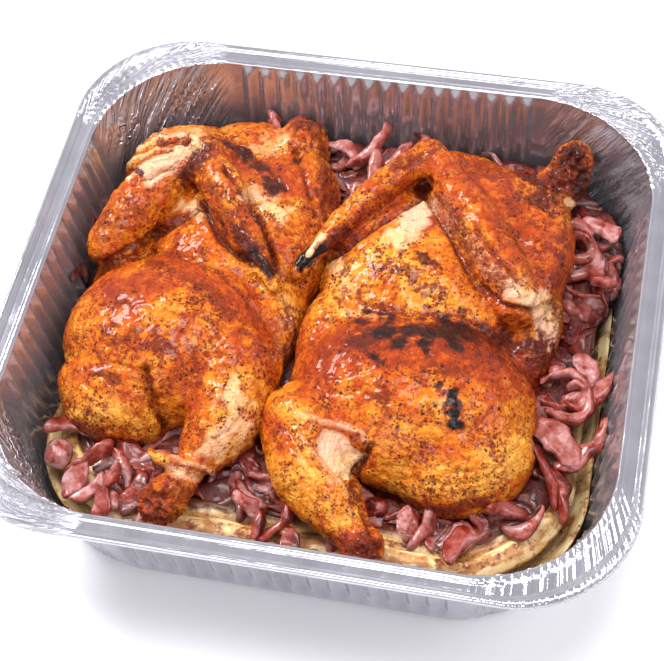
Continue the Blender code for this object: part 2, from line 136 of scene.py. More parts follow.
@dataclass(frozen=True)
class Cloud:
    """Smooth noise whose lumps are about so many millimetres wide."""

    size: float
    detail: float = 3.0
    rough: float = 0.5
    wander: float = 0.0

    def inputs(self, place: Socket) -> dict:
        """Inputs of the noise node."""
        return {"Vector": place, "Scale": per_mm(self.size), "Detail": self.detail, "Roughness": self.rough,
                "Distortion": self.wander}


def weigh(add: AddNode, total: Socket | float, *terms: tuple[Socket, float]) -> Socket:
    """Add patterns to a value, each times its weight."""
    for value, weight in terms:
        total = add(MATH, value, weight, total, operation="MULTIPLY_ADD")
    return total


def lay_tones(add: AddNode, colour: Socket | str, *layers: tuple[Socket, Socket | str]) -> Socket:
    """Lay colours over a first one, each by its own share."""
    for share, tone in layers:
        colour = add(MIX, share, named={6: colour, 7: tone}, out=2, data_type="RGBA")
    return colour


def lay_bumps(add: AddNode, *layers: tuple[Socket, float, float]) -> Socket:
    """Lay relief over relief, each as a height pattern, its strength and its depth in millimetres."""
    below = {}
    for height, strength, depth in layers:
        normal = add(BUMP, named={"Height": height, "Strength": strength, "Distance": depth * MM, **below})
        below = {"Normal": normal}
    return normal


def start_finish(name: str) -> tuple[bpy.types.Material, bpy.types.Node, AddNode]:
    """Make an empty material.

    Args:
        name: The real material's common name.

    Returns:
        The material, its shader and the function that adds nodes to it.
    """
    finish = bpy.data.materials.new(name)
    finish.use_nodes = True
    return finish, finish.node_tree.nodes["Principled BSDF"], partial(add_node, finish.node_tree)


def per_mm(size: float) -> float:
    """Texture scale at which a pattern repeats every so many millimetres."""
    return 1.0 / (size * MM)


def smooth_step(values: np.ndarray, low: float, high: float) -> np.ndarray:
    """Rise smoothly from 0 at low to 1 at high."""
    share = np.clip((values - low) / (high - low), 0.0, 1.0)
    return share * share * (3.0 - 2.0 * share)


def field_noise(points: np.ndarray, size: float, octaves: int = 3, shift: float = 0.0) -> np.ndarray:
    """Smooth noise at each point, about -1 to 1.

    Args:
        points: Places in millimetres.
        size: Size of the largest bumps in millimetres.
        octaves: How many finer layers are added.
        shift: Moves the pattern, so that two fields differ.

    Returns:
        One value for each point.
    """
    scaled = points / size + shift
    return np.array([noise.fractal(Vector(p), 1.0, 2.0, octaves) for p in scaled])


def read_points(mesh: bpy.types.Mesh) -> np.ndarray:
    """Vertices of a mesh in millimetres."""
    values = np.empty(len(mesh.vertices) * 3, np.float32)
    mesh.vertices.foreach_get("co", values)
    return values.reshape(-1, 3).astype(float) / MM


def write_points(mesh: bpy.types.Mesh, points: np.ndarray) -> None:
    """Set a mesh's vertices from millimetres."""
    mesh.vertices.foreach_set("co", (points * MM).astype(np.float32).ravel())
    mesh.update()


def read_normals(mesh: bpy.types.Mesh) -> np.ndarray:
    """Vertex normals of a mesh."""
    values = np.empty(len(mesh.vertices) * 3, np.float32)
    mesh.vertex_normals.foreach_get("vector", values)
    return values.reshape(-1, 3).astype(float)


def write_attribute(mesh: bpy.types.Mesh, name: str, values: np.ndarray) -> None:
    """Store one value for each vertex under a name that materials read."""
    layer = mesh.attributes.get(name) or mesh.attributes.new(name, "FLOAT", "POINT")
    layer.data.foreach_set("value", values.astype(np.float32))


def mesh_object(name: str, points: np.ndarray, faces: list) -> bpy.types.Object:
    """Make an object from points in millimetres and faces.

    Args:
        name: The piece's name.
        points: Its vertices.
        faces: Its faces, as vertex places turning left seen from outside.

    Returns:
        The object, linked to the scene and shaded smooth.
    """
    mesh = bpy.data.meshes.new(name)
    mesh.from_pydata((np.asarray(points) * MM).tolist(), [], faces)
    mesh.shade_smooth()
    obj = bpy.data.objects.new(name, mesh)
    bpy.context.scene.collection.objects.link(obj)
    return obj


def apply_modifiers(obj: bpy.types.Object) -> None:
    """Make an object's evaluated shape its own mesh and drop its modifiers."""
    depsgraph = bpy.context.evaluated_depsgraph_get()
    mesh = bpy.data.meshes.new_from_object(obj.evaluated_get(depsgraph))
    obj.modifiers.clear()
    obj.data = mesh
    obj.data.shade_smooth()


def place_piece(obj: bpy.types.Object, slot: str, *nodes: str) -> bpy.types.Object:
    """Let a piece ride on the meal and hide the solids that it replaces.

    Args:
        obj: The finished piece.
        slot: Not used.
        nodes: The solids that it replaces.

    Returns:
        The piece.
    """
    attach(obj, "root")
    if nodes:
        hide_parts(*nodes)
    LOG.info("%s: %d faces", obj.name, len(obj.data.polygons))
    return obj


@dataclass(frozen=True)
class PhotoView:
    """The photograph's camera, in millimetres and degrees, and what it sees where."""

    azimuth: float = 16.279
    elevation: float = 55.623
    roll: float = -5.626
    distance: float = 807.61
    target: Point = (-10.08, 25.61, 0.0)
    focal_pixels: float = 1651.97
    width: int = 664
    height: int = 661
    sensor: float = 36.0

    def axes(self) -> tuple[np.ndarray, np.ndarray, np.ndarray, np.ndarray]:
        """Eye, right, up and backward of the camera."""
        turn, rise, roll = (math.radians(v) for v in (self.azimuth, self.elevation, self.roll))
        back = np.array([math.sin(turn) * math.cos(rise), -math.cos(turn) * math.cos(rise), math.sin(rise)])
        level = np.cross(-back, (0.0, 0.0, 1.0))
        level /= np.linalg.norm(level)
        over = np.cross(level, -back)
        right = math.cos(roll) * level + math.sin(roll) * over
        up = math.cos(roll) * over - math.sin(roll) * level
        return np.array(self.target) + back * self.distance, right, up, back

    def pixels(self, points: np.ndarray) -> np.ndarray:
        """Where points in millimetres show in the photograph."""
        eye, right, up, back = self.axes()
        rays = points - eye
        depth = -(rays @ back)
        across = self.width / 2 + self.focal_pixels * (rays @ right) / depth
        down = self.height / 2 - self.focal_pixels * (rays @ up) / depth
        return np.stack([across, down], axis=1)

    def ray(self, pixel: Pixel) -> tuple[np.ndarray, np.ndarray]:
        """Eye and direction of the sight line through a pixel."""
        eye, right, up, back = self.axes()
        across = (pixel[0] - self.width / 2) / self.focal_pixels
        down = (pixel[1] - self.height / 2) / self.focal_pixels
        line = right * across - up * down - back
        return eye, line / np.linalg.norm(line)

    def at_height(self, pixel: Pixel, height: float) -> np.ndarray:
        """The point seen at a pixel that lies at a height, in millimetres."""
        eye, line = self.ray(pixel)
        return eye + line * (height - eye[2]) / line[2]

    def scale(self) -> float:
        """Pixels to a millimetre at the camera's target."""
        return self.focal_pixels / self.distance

    def build(self) -> bpy.types.Object:
        """Make the camera and let the scene use it."""
        eye, right, up, back = self.axes()
        data = bpy.data.cameras.new("camera")
        data.sensor_fit = "HORIZONTAL"
        data.sensor_width = self.sensor
        data.lens = self.focal_pixels / self.width * self.sensor
        data.clip_start = 0.05
        camera = bpy.data.objects.new("camera", data)
        bpy.context.scene.collection.objects.link(camera)
        rows = [(*pair, spot * MM) for pair, spot in zip(zip(right, up, back), eye)]
        camera.matrix_world = Matrix((*rows, (0.0, 0.0, 0.0, 1.0)))
        bpy.context.scene.camera = camera
        return camera


@dataclass(frozen=True)
class Softbox:
    """One studio lamp with a soft square face."""

    name: str
    place: Point
    size: float
    power: float
    colour: str = "#ffffff"

    def build(self) -> None:
        """Hang the lamp and turn it to the meal."""
        data = bpy.data.lights.new(self.name, "AREA")
        data.shape = "SQUARE"
        data.size = self.size
        data.energy = self.power
        data.color = linear(self.colour)[:3]
        lamp = bpy.data.objects.new(self.name, data)
        bpy.context.scene.collection.objects.link(lamp)
        lamp.location = self.place
        lamp.rotation_euler = (-Vector(self.place)).to_track_quat("-Z", "Y").to_euler()


@dataclass(frozen=True)
class Studio:
    """Plain pale floor, bright surround and soft lamps."""

    floor_half: float = 3.0
    floor_colour: str = "#f8f7f9"
    sky: tuple[tuple[float, str], ...] = (
        (0.0, "#f0f0f4"), (0.3, "#ffffff"), (0.62, "#dcdce2"), (0.8, "#a2a2aa"), (1.0, "#a6a6ac"))
    sky_strength: float = 0.74
    lamps: tuple[Softbox, ...] = (
        Softbox("key_lamp", (-1.2, 0.6, 1.5), 0.6, 42.0),
        Softbox("back_lamp", (0.1, 0.1, 2.1), 0.8, 24.0),
        Softbox("fill_lamp", (1.5, 0.1, 1.6), 1.1, 18.0),
        Softbox("front_lamp", (-0.6, -1.8, 1.6), 1.2, 16.0),
    )

    def build(self) -> None:
        """Build the floor, the surround and the lamps, and show colours as they are."""
        bpy.context.scene.view_settings.view_transform = "Standard"
        reach = self.floor_half / MM
        corners = np.array([(-reach, -reach, 0), (reach, -reach, 0), (reach, reach, 0), (-reach, reach, 0)])
        floor = mesh_object("floor", corners, [(0, 1, 2, 3)])
        finish, shader, _ = start_finish("Matt white paper sweep")
        set_inputs(shader, {"Base Color": self.floor_colour, "Roughness": 0.85})
        floor.data.materials.append(finish)
        world = bpy.data.worlds.new("surround")
        world.use_nodes = True
        add = partial(add_node, world.node_tree)
        rise = add(SPLIT, add(PLACE, out="Generated"), out="Z")
        set_inputs(world.node_tree.nodes["Background"],
                   {"Color": add(RAMP, rise, stops=self.sky), "Strength": self.sky_strength})
        bpy.context.scene.world = world
        for lamp in self.lamps:
            lamp.build()


@dataclass(frozen=True)
class FoilFinish:
    """Pressed aluminium foil: bright metal with fine crinkles and faint rolling lines."""

    colour: str = "#d0ced6"
    dull: str = "#a6a4ae"
    crinkle: Cloud = Cloud(2.6)
    dents: Cloud = Cloud(18.0, 2.0)
    rolling: Cloud = Cloud(0.8, 2.0)
    fold_mm: float = 2.6
    fold_long_mm: float = 15.0
    fold_wander: float = 0.4
    rolling_stretch: float = 0.04
    roughness: tuple[float, float] = (0.08, 0.16)
    metallic: float = 0.72

    def build(self) -> bpy.types.Material:
        """Make the material."""
        # Pressed foil mirrors the room in broken patches: sharp crinkles, soft dents, gathered corners.
        # Real rolling lines are far finer than a pixel, so they are drawn 0.8 mm wide.
        finish, shader, add = start_finish("Pressed aluminium foil")
        place = add(PLACE, out="Object")
        run, corner = (add(ATTRIBUTE, attribute_name=name, out="Fac") for name in ("run", "corner"))
        height = add(SPLIT, place, out="Z")
        crinkle, broad = (add(NOISE, named=cloud.inputs(place)) for cloud in (self.crinkle, self.dents))
        along = add(MATH, run, 1.0 / self.fold_mm, operation="MULTIPLY")
        down = add(MATH, height, per_mm(self.fold_long_mm), operation="MULTIPLY")
        folds = add(NOISE, named={"Vector": add("ShaderNodeCombineXYZ", along, down), "Scale": 1.0,
                                  "Detail": 2.0, "Distortion": self.fold_wander})
        lengthened = add("ShaderNodeMapping", place, named={"Scale": (1.0, self.rolling_stretch, 1.0)})
        rolling = add(NOISE, named=self.rolling.inputs(lengthened))
        relief = lay_bumps(add, (add(MATH, folds, corner, operation="MULTIPLY"), 1.0, 3.0),
                           (crinkle, 0.16, 0.35), (broad, 0.5, 1.2))
        set_inputs(shader, {"Base Color": lay_tones(add, self.colour, (broad, self.dull)), "Normal": relief,
                            "Roughness": add(RANGE, rolling, *NOISE_SPREAD, *self.roughness),
                            "Metallic": self.metallic})
        return finish


@dataclass(frozen=True)
class SkinFinish:
    """Oven roasted chicken skin: oiled, golden, browned in patches, with shade painted into its creases, and
    dusted with pepper.
    """

    gold: str = "#d8760c"
    light_gold: str = "#f0a43a"
    amber: str = "#be4a05"
    deep: str = "#8c2a04"
    brown: str = "#641e08"
    char: str = "#150704"
    cream: str = "#f2c284"
    flesh: str = "#f4bd98"
    amber_dark: str = "#963204"
    spice: str = "#641c05"
    pepper: str = "#2c0e06"
    clouds: tuple[Cloud, ...] = (Cloud(20.0), Cloud(8.0, 5.0, 0.6, 0.4), Cloud(3.0, 5.0, 0.7, 0.6),
                                 Cloud(11.0, 2.0), Cloud(1.3, 1.0))
    ragged: Cloud = Cloud(0.9, 1.0)
    ragged_reach: float = 1.5
    spice_spacing: float = 1.4
    spice_radius: float = 0.56
    flake_spacing: float = 2.4
    flake_radius: float = 0.35
    pore_spacing: float = 1.3
    warm_range: tuple[float, float] = (0.92, 2.0)
    cover: float = 0.85
    roughness: tuple[float, float] = (0.28, 0.5)

    def specks(self, add: AddNode, place: Socket, crowd: Socket, spacing: float, radius: float) -> Socket:
        """Separate ragged dots, more and larger where the crowd's value is high.

        Args:
            add: Adds a node to the material.
            place: Where the pattern is looked up.
            crowd: Value from about 0 to 1 that is added to each cell's chance.
            spacing: Millimetres between dots where every cell holds one.
            radius: Largest radius as a share of the spacing.

        Returns:
            1 in the dots and 0 between them.
        """
        shake = add(NOISE, named=self.ragged.inputs(place), out="Color")
        moved = add("ShaderNodeVectorMath", shake, (self.ragged_reach * MM,) * 3, place,
                    operation="MULTIPLY_ADD")
        distance = add(CELLS, named={"Vector": moved, "Scale": per_mm(spacing)})
        chance = add("ShaderNodeSeparateColor", distance.node.outputs["Color"])
        reach = add(RANGE, add(MATH, chance, crowd, operation="ADD"), 0.75, 1.3, 0.0, radius)
        return add(RANGE, add(MATH, reach, distance, operation="SUBTRACT"), 0.0, 0.05)

    def build(self) -> bpy.types.Material:
        """Make the material."""
        # Oiled roast skin is a glossy, slightly translucent film: golden where thick with fat, dark amber
        # where it crisped, with pores 1.3 mm apart and ground spice in dots of up to about 1.5 mm.
        finish, shader, add = start_finish("Roast chicken skin")
        place = add(PLACE, out="Object")
        brown, char, pale, amber = (add(ATTRIBUTE, attribute_name=name, out="Fac")
                                    for name in ("brown", "char", "pale", "amber"))
        broad, patch, fleck, crowd, grain = (add(NOISE, named=cloud.inputs(place)) for cloud in self.clouds)
        warmth = weigh(add, amber, (fleck, 0.75), (patch, 1.2), (broad, 0.9))
        golden = add(RAMP, add(RANGE, warmth, *self.warm_range), stops=(
            (0.05, self.light_gold), (0.36, self.gold), (0.62, self.amber), (0.95, self.deep)))
        # The brown mark tone browns real patches, and along sunk creases and under the wings' edges it is
        # painted shade.
        bare, browned_and_shaded, burnt = (
            add(MATH, add(RANGE, weigh(add, mark, (cloud, weight)), low, high), add(RANGE, mark, 0.0, edge),
                operation="MULTIPLY")
            for mark, cloud, weight, low, high, edge in (
                (pale, patch, 0.8, 0.35, 0.95, 0.2), (brown, fleck, 0.7, 0.5, 1.15, 0.2),
                (char, fleck, 0.9, 0.66, 1.16, 0.25)))
        meat = lay_tones(add, self.cream, (add(RANGE, broad, 0.4, 0.6), self.flesh))
        mottle = weigh(add, fleck, (pale, -0.16), (brown, 0.3), (crowd, 0.35))
        peppered = weigh(add, add(RANGE, crowd, 0.35, 0.65, 0.0, 0.6), (brown, 0.2), (pale, -0.5))
        spice, flakes = (
            add(MATH, self.specks(add, place, peppered, spacing, radius), self.cover, operation="MULTIPLY")
            for spacing, radius in ((self.spice_spacing, self.spice_radius),
                                    (self.flake_spacing, self.flake_radius)))
        colour = lay_tones(
            add, golden, (bare, meat), (add(RANGE, mottle, 0.66, 0.8, 0.0, self.cover), self.amber_dark),
            (browned_and_shaded, self.brown), (spice, self.spice), (flakes, self.pepper), (burnt, self.char))
        pores = add(CELLS, named={"Vector": place, "Scale": per_mm(self.pore_spacing)}, feature="SMOOTH_F1")
        relief = lay_bumps(add, (pores, 0.5, 0.45), (weigh(add, grain, (fleck, 1.6)), 0.9, 1.3))
        set_inputs(shader, {
            "Base Color": colour, "Normal": relief,
            "Roughness": add(RANGE, fleck, *NOISE_SPREAD, *self.roughness),
            "Subsurface Weight": 0.06, "Subsurface Radius": (1.0, 0.4, 0.15), "Subsurface Scale": 0.002,
            "Coat Weight": 0.26, "Coat Roughness": 0.08, "Specular IOR Level": 0.25, "IOR": 1.45})
        return finish


@dataclass(frozen=True)
class OnionFinish:
    """Cooked red onion: wet and translucent, lilac to wine red, with fine veins along it."""

    lilac: str = "#bd8e8e"
    pink: str = "#a25348"
    red: str = "#862212"
    wine: str = "#3c0d0d"
    soaked: str = "#6a1a08"
    # Gap colour: near black red for onion lying low, soaked juices and painted shade between the pieces.
    gap: str = "#300805"
    clouds: tuple[Cloud, ...] = (Cloud(6.0, 4.0, 0.6), Cloud(1.4), Cloud(1.5, 1.0))
    soak_and_shade_top: float = 41.0
    soak_and_shade_bottom: float = 35.0
    ragged_height: float = 8.0
    roughness: float = 0.32

    def build(self) -> bpy.types.Material:
        """Make the material."""
        # Cooked onion is wet and lets light in: lilac flesh, wine red rind and 1.4 mm veins, darker the lower
        # it lies, partly from the juices it lies in and partly as painted shade in the gaps between pieces.
        finish, shader, add = start_finish("Cooked red onion")
        place = add(PLACE, out="Object")
        rind, tint = (add(ATTRIBUTE, attribute_name=name, out="Fac") for name in ("rind", "tint"))
        cloud, veins, dust = (add(NOISE, named=cloud.inputs(place)) for cloud in self.clouds)
        depth = weigh(add, -0.8, (cloud, 1.7), (rind, 0.3), (tint, 0.66))
        body = add(RAMP, depth, stops=(
            (0.08, self.lilac), (0.4, self.pink), (0.72, self.red), (1.0, self.wine)))
        height = weigh(add, add(SPLIT, place, out="Z"), (cloud, self.ragged_height * MM))
        # Painted shade: the lower a place lies between the pieces, the nearer it turns to the gap colour.
        low = add(RANGE, height, self.soak_and_shade_top * MM, self.soak_and_shade_bottom * MM, 0.0, 0.9)
        specks = weigh(add, dust, (cloud, 0.3))
        body = lay_tones(add, body, (add(RANGE, veins, 0.58, 0.7, 0.0, 0.25), self.lilac),
                         (add(RANGE, cloud, 0.55, 0.68, 0.0, 0.8), self.soaked), (low, self.gap),
                         (add(RANGE, specks, 0.85, 0.89, 0.0, 0.8), self.soaked))
        set_inputs(shader, {
            "Base Color": body, "Normal": lay_bumps(add, (veins, 0.5, 0.5)), "Roughness": self.roughness,
            "Subsurface Weight": 0.2, "Subsurface Radius": (1.0, 0.35, 0.3), "Subsurface Scale": 0.0025,
            "Coat Weight": 0.35, "Coat Roughness": 0.1, "IOR": 1.4})
        return finish


@dataclass(frozen=True)
class SauceFinish:
    """Onion juices thick with dark red spice: wet and lumpy, nearly black in the hollows, partly its own
    colour and partly painted shade.
    """

    deep: str = "#2c0805"
    bright: str = "#7c2410"
    lumps: Cloud = Cloud(5.0, 6.0, 0.7)
    roughness: float = 0.34

    def build(self) -> bpy.types.Material:
        """Make the material."""
        # Juices thick with spice show as dark wet lumps about 5 mm wide with small bright glints; tone and
        # relief share one noise, so the hollows take painted shade over the juices' own dark red.
        finish, shader, add = start_finish("Spiced onion juices")
        place = add(PLACE, out="Object")
        cloud = add(NOISE, named=self.lumps.inputs(place))
        # Painted shade: the tone is darkest where the lumps' relief is lowest.
        tone = lay_tones(add, self.deep, (add(RANGE, cloud, 0.38, 0.66), self.bright))
        set_inputs(shader, {"Base Color": tone, "Normal": lay_bumps(add, (cloud, 0.9, 1.5)),
                            "Roughness": self.roughness, "Coat Weight": 0.35, "Coat Roughness": 0.06})
        return finish


@dataclass(frozen=True)
class BreadFinish:
    """Soft flatbread baked on a hot stone: cream dough, toasted folds and drips of dark juice."""

    cream: str = "#f6dca6"
    straw: str = "#efc680"
    toast: str = "#b06a26"
    scorch: str = "#7a2c08"
    soaked: str = "#541606"
    clouds: tuple[Cloud, ...] = (Cloud(24.0, 4.0, 0.6), Cloud(9.0, 5.0, 0.65, 0.5), Cloud(3.5, 5.0, 0.7))
    roughness: float = 0.45

    def build(self) -> bpy.types.Material:
        """Make the material."""
        # Baked dough is matt and pale, brown on its ridges in blotches of about 9 mm, and dark where wet.
        finish, shader, add = start_finish("Baked flatbread")
        place = add(PLACE, out="Object")
        ridge, soak = (add(ATTRIBUTE, attribute_name=name, out="Fac") for name in ("ridge", "soak"))
        cloud, blotch, fine = (add(NOISE, named=cloud.inputs(place)) for cloud in self.clouds)
        toast = weigh(add, blotch, (ridge, 0.42), (fine, 0.35))
        drips = weigh(add, fine, (ridge, 0.12), (cloud, 0.5))
        wet = weigh(add, soak, (blotch, 1.4))
        colour = lay_tones(add, self.cream, (add(RANGE, cloud, 0.42, 0.62), self.straw),
                           (add(RANGE, toast, 0.92, 1.1, 0.0, 0.85), self.toast),
                           (add(RANGE, drips, 0.92, 0.98, 0.0, 0.9), self.scorch),
                           (add(RANGE, wet, 1.1, 1.5, 0.0, 0.92), self.soaked))
        relief = lay_bumps(add, (add(MATH, fine, blotch, operation="ADD"), 0.5, 0.8))
        set_inputs(shader, {
            "Base Color": colour, "Normal": relief, "Roughness": self.roughness, "Subsurface Weight": 0.1,
            "Subsurface Radius": (1.0, 0.6, 0.3), "Subsurface Scale": 0.002, "Coat Weight": 0.25,
            "Coat Roughness": 0.2})
        return finish


@dataclass
class FoilTray:
    """The pressed tray: floor, fluted wall, stepped flange and rolled bead, in millimetres."""

    width: float = 290.0
    depth: float = 277.0
    height: float = 73.0
    foil: float = 0.3
    rim_corner: float = 52.0
    wall_top_corner: float = 57.0
    base_corner: float = 59.0
    wall_top_inset: float = 11.6
    wall_foot_inset: float = 21.0
    wall_foot_height: float = 8.0
    base_inset: float = 27.0
    bead_radius: float = 1.9
    flutes: int = 16
    flute_depth: float = 2.4
    fluted_half_width: float = 69.0
    fluted_half_depth: float = 66.0
    flute_samples: int = 8
    corner_samples: int = 96
    corner_length: float = 122.0
    wall_rows: int = 21
    shoulder_rows: int = 7
    shoulder_low: float = 65.2
    shoulder_width: float = 3.8
    crimp_pitch: float = 4.0
    flange_gathers: float = 0.5
    finish: FoilFinish = field(default_factory=FoilFinish)

    def corner_radius(self, inset: float) -> float:
        """Plan radius of a corner at a distance in from the rim's edge."""
        upper = min(1.0, inset / self.wall_top_inset)
        lower = max(0.0, (inset - self.wall_top_inset) / (self.wall_foot_inset - self.wall_top_inset))
        radius = self.rim_corner + upper * (self.wall_top_corner - self.rim_corner)
        return radius + min(1.0, lower) * (self.base_corner - self.wall_top_corner)

    def wall_inset(self, height: np.ndarray | float) -> np.ndarray:
        """Inset of the wall's outer face at a height."""
        share = (height - self.wall_foot_height) / (self.height - self.wall_foot_height - 3.0)
        lean = self.wall_top_inset - self.wall_foot_inset
        return self.wall_foot_inset + np.clip(share, -0.12, 1.0) * lean

    def inner_distance(self, points: np.ndarray, margin: float) -> np.ndarray:
        """Signed distance of points from the inner wall less a margin, negative inside."""
        inset = self.wall_inset(points[:, 2]) + self.flute_depth + self.foil + margin
        radius = self.base_corner
        over_x = np.abs(points[:, 0]) - (self.width / 2 - inset) + radius
        over_y = np.abs(points[:, 1]) - (self.depth / 2 - inset) + radius
        outside = np.hypot(np.maximum(over_x, 0.0), np.maximum(over_y, 0.0))
        return outside + np.minimum(np.maximum(over_x, over_y), 0.0) - radius

    def keep_inside(self, points: np.ndarray, margin: float) -> np.ndarray:
        """Draw points that cross the wall in towards the tray's middle."""
        moved = points.copy()
        for _ in range(3):
            over = np.maximum(self.inner_distance(moved, margin), 0.0)
            reach = np.maximum(np.hypot(moved[:, 0], moved[:, 1]), 1.0)
            moved[:, :2] *= (1.0 - over / reach)[:, None]
        return moved

    def reach(self, angle: float, height: float, margin: float) -> float:
        """Distance from the middle to the inner wall at an angle and height, less a margin."""
        low, high = 0.0, self.width
        for _ in range(30):
            middle = (low + high) / 2
            spot = np.array([[middle * math.cos(angle), middle * math.sin(angle), height]])
            if self.inner_distance(spot, margin)[0] < 0:
                low = middle
            else:
                high = middle
        return low

    def side_run(self, half_along: float, half_across: float, fluted: float, radius: float) -> np.ndarray:
        """Points of one side as distance along and distance out from the middle."""
        along = np.linspace(-fluted, fluted, self.flutes * self.flute_samples + 1)
        past = np.maximum(np.abs(along) - (half_along - radius), 0.0)
        return np.stack([along, half_across - (radius - np.sqrt(radius ** 2 - past ** 2))], axis=1)

    def corner_run(self, half_x: float, half_y: float, radius: float) -> np.ndarray:
        """Points of the front right corner, from the front's flutes to the right side's."""
        start = math.asin(max(0.0, (self.fluted_half_width - (half_x - radius)) / radius))
        end = math.asin(max(0.0, (self.fluted_half_depth - (half_y - radius)) / radius))
        first = max(0.0, half_x - radius - self.fluted_half_width)
        last = max(0.0, half_y - radius - self.fluted_half_depth)
        arc = radius * (math.pi / 2 - start - end)
        points = []
        for index in range(1, self.corner_samples + 1):
            run = (first + arc + last) * index / (self.corner_samples + 1)
            if run < first:
                points.append((self.fluted_half_width + run, -half_y))
            elif run < first + arc:
                angle = start + (run - first) / radius
                points.append((half_x - radius + radius * math.sin(angle),
                               -(half_y - radius + radius * math.cos(angle))))
            else:
                points.append((half_x, -(self.fluted_half_depth + first + arc + last - run)))
        return np.array(points)

    def outline(self, inset: float) -> np.ndarray:
        """One plain ring, turning left seen from above."""
        half_x, half_y = self.width / 2 - inset, self.depth / 2 - inset
        radius = self.corner_radius(inset)
        front = self.side_run(half_x, half_y, self.fluted_half_width, radius) * (1.0, -1.0)
        right = self.side_run(half_y, half_x, self.fluted_half_depth, radius)[:, ::-1]
        corner = self.corner_run(half_x, half_y, radius)
        half = np.concatenate([front, corner, right, corner[::-1] * (1.0, -1.0)])
        return np.concatenate([half, -half])

    def rib_shape(self) -> np.ndarray:
        """How far the ribs between the channels stand inward round a ring, from 0 to 1."""
        side = np.arange(self.flutes * self.flute_samples + 1) / self.flute_samples
        ribs = np.abs(np.cos(math.pi * side)) ** 2.4
        pitch = self.corner_length / (self.corner_samples + 1)
        beyond = np.arange(1, self.corner_samples + 1) * pitch * self.flutes / (2 * self.fluted_half_width)
        fade = np.where(beyond < 0.5, np.cos(math.pi * np.minimum(beyond, 0.5)) ** 2.4, 0.0)
        return np.tile(np.concatenate([ribs, fade + fade[::-1]]), 4)

    def corner_weight(self) -> np.ndarray:
        """How much of the corner's gathered foil a place on the ring has, from 0 to 1."""
        share = np.linspace(0.0, 1.0, self.corner_samples)
        corner = smooth_step(share, 0.06, 0.24) * smooth_step(1.0 - share, 0.06, 0.24)
        quarter = np.concatenate([np.zeros(self.flutes * self.flute_samples + 1), corner])
        return np.tile(quarter, 4)

    def profile(self) -> list[tuple[float, float, str]]:
        """Rings from the floor to the bead: inset, height and zone."""
        rows = [(self.base_inset + 14.0, 0.0, "floor"), (self.base_inset + 3.0, 0.0, "floor")]
        for step in range(5):
            turn = math.radians(18.0 * step)
            rows.append((self.base_inset - 5.7 * math.sin(turn), 6.5 * (1 - math.cos(turn)), "wall"))
        wall = np.linspace(7.0, 64.0, self.wall_rows)
        for z in np.concatenate([wall, np.linspace(self.shoulder_low, 70.7, self.shoulder_rows)]):
            rows.append((float(self.wall_inset(z)), float(z), "wall"))
        step_z, flange_z = self.height - 1.3 - self.foil, self.height - 2.3 - self.foil
        inner = self.wall_top_inset
        rows.append((inner, step_z - 0.3, "step"))
        rows += [(inner - across, step_z, "crimp") for across in (0.4, 1.2, 2.0)]
        rows += [(inner - 2.4, step_z - 0.3, "step"), (inner - 2.9, flange_z, "flange")]
        outer = 2 * self.bead_radius + 0.3
        for share in (0.2, 0.4, 0.6, 0.8, 1.0):
            rows.append((inner - 2.9 + share * (outer - inner + 2.9), flange_z, "flange"))
        core = self.bead_radius - self.foil
        for angle in (160, 130, 100, 70, 35, 0, -40, -80, -120):
            turn = math.radians(angle)
            rows.append((self.bead_radius - core * math.cos(turn),
                         self.height - self.bead_radius + core * math.sin(turn), "bead"))
        return rows

    def ribbed(self, inset: float, height: float, ribs: np.ndarray) -> np.ndarray:
        """Inset of the wall round a ring, where the channels run up into the sloping shoulder."""
        rise = float(smooth_step(np.array(height), 6.5, 15.0))
        wall = inset + self.flute_depth * rise * ribs
        if height < self.shoulder_low:
            return wall
        share = (height - self.shoulder_low) / (70.9 - self.shoulder_low)
        return np.minimum(wall, self.wall_top_inset + self.shoulder_width * (1.0 - share))

    def gathered(self, run: np.ndarray, height: float, zone: str) -> tuple[np.ndarray, np.ndarray]:
        """Push outward and lift of the gathered corner foil for each place of a ring."""
        still = np.zeros(len(run))
        fine = np.array([noise.noise(Vector((r / 1.9, height / 14.0, 7.0))) for r in run])
        radial = 1.0 - 2.4 * np.array([abs(noise.noise(Vector((r / 3.3, height / 90.0, 3.0)))) for r in run])
        if zone == "wall":
            lean = run + 0.12 * height * np.sin(run / 9.0)
            crease = np.array([noise.noise(Vector((r / 6.0, height / 48.0, 0.0))) for r in lean])
            broad = np.array([noise.noise(Vector((r / 15.0, height / 24.0, 5.0))) for r in run])
            folds = np.maximum(0.0, 1.0 - 3.2 * np.abs(crease)) ** 2.2
            sharp = np.array([abs(noise.noise(Vector((r / 2.9, height / 30.0, 21.0)))) for r in run])
            strength = 0.25 + 0.75 * min(1.0, height / 50.0)
            strength *= 1.0 - 0.8 * float(smooth_step(height, 62.0, 70.0))
            return strength * (-2.9 * folds - 0.9 * broad + 1.3 * sharp + 0.2 * fine), still
        if zone == "crimp":
            return still, -0.2 + 0.2 * np.sign(np.sin(2 * math.pi * run / self.crimp_pitch))
        if zone == "flange":
            return still, 0.68 * radial + 0.12 * fine
        if zone == "bead":
            return 0.2 * radial, 0.15 * fine
        return still, still

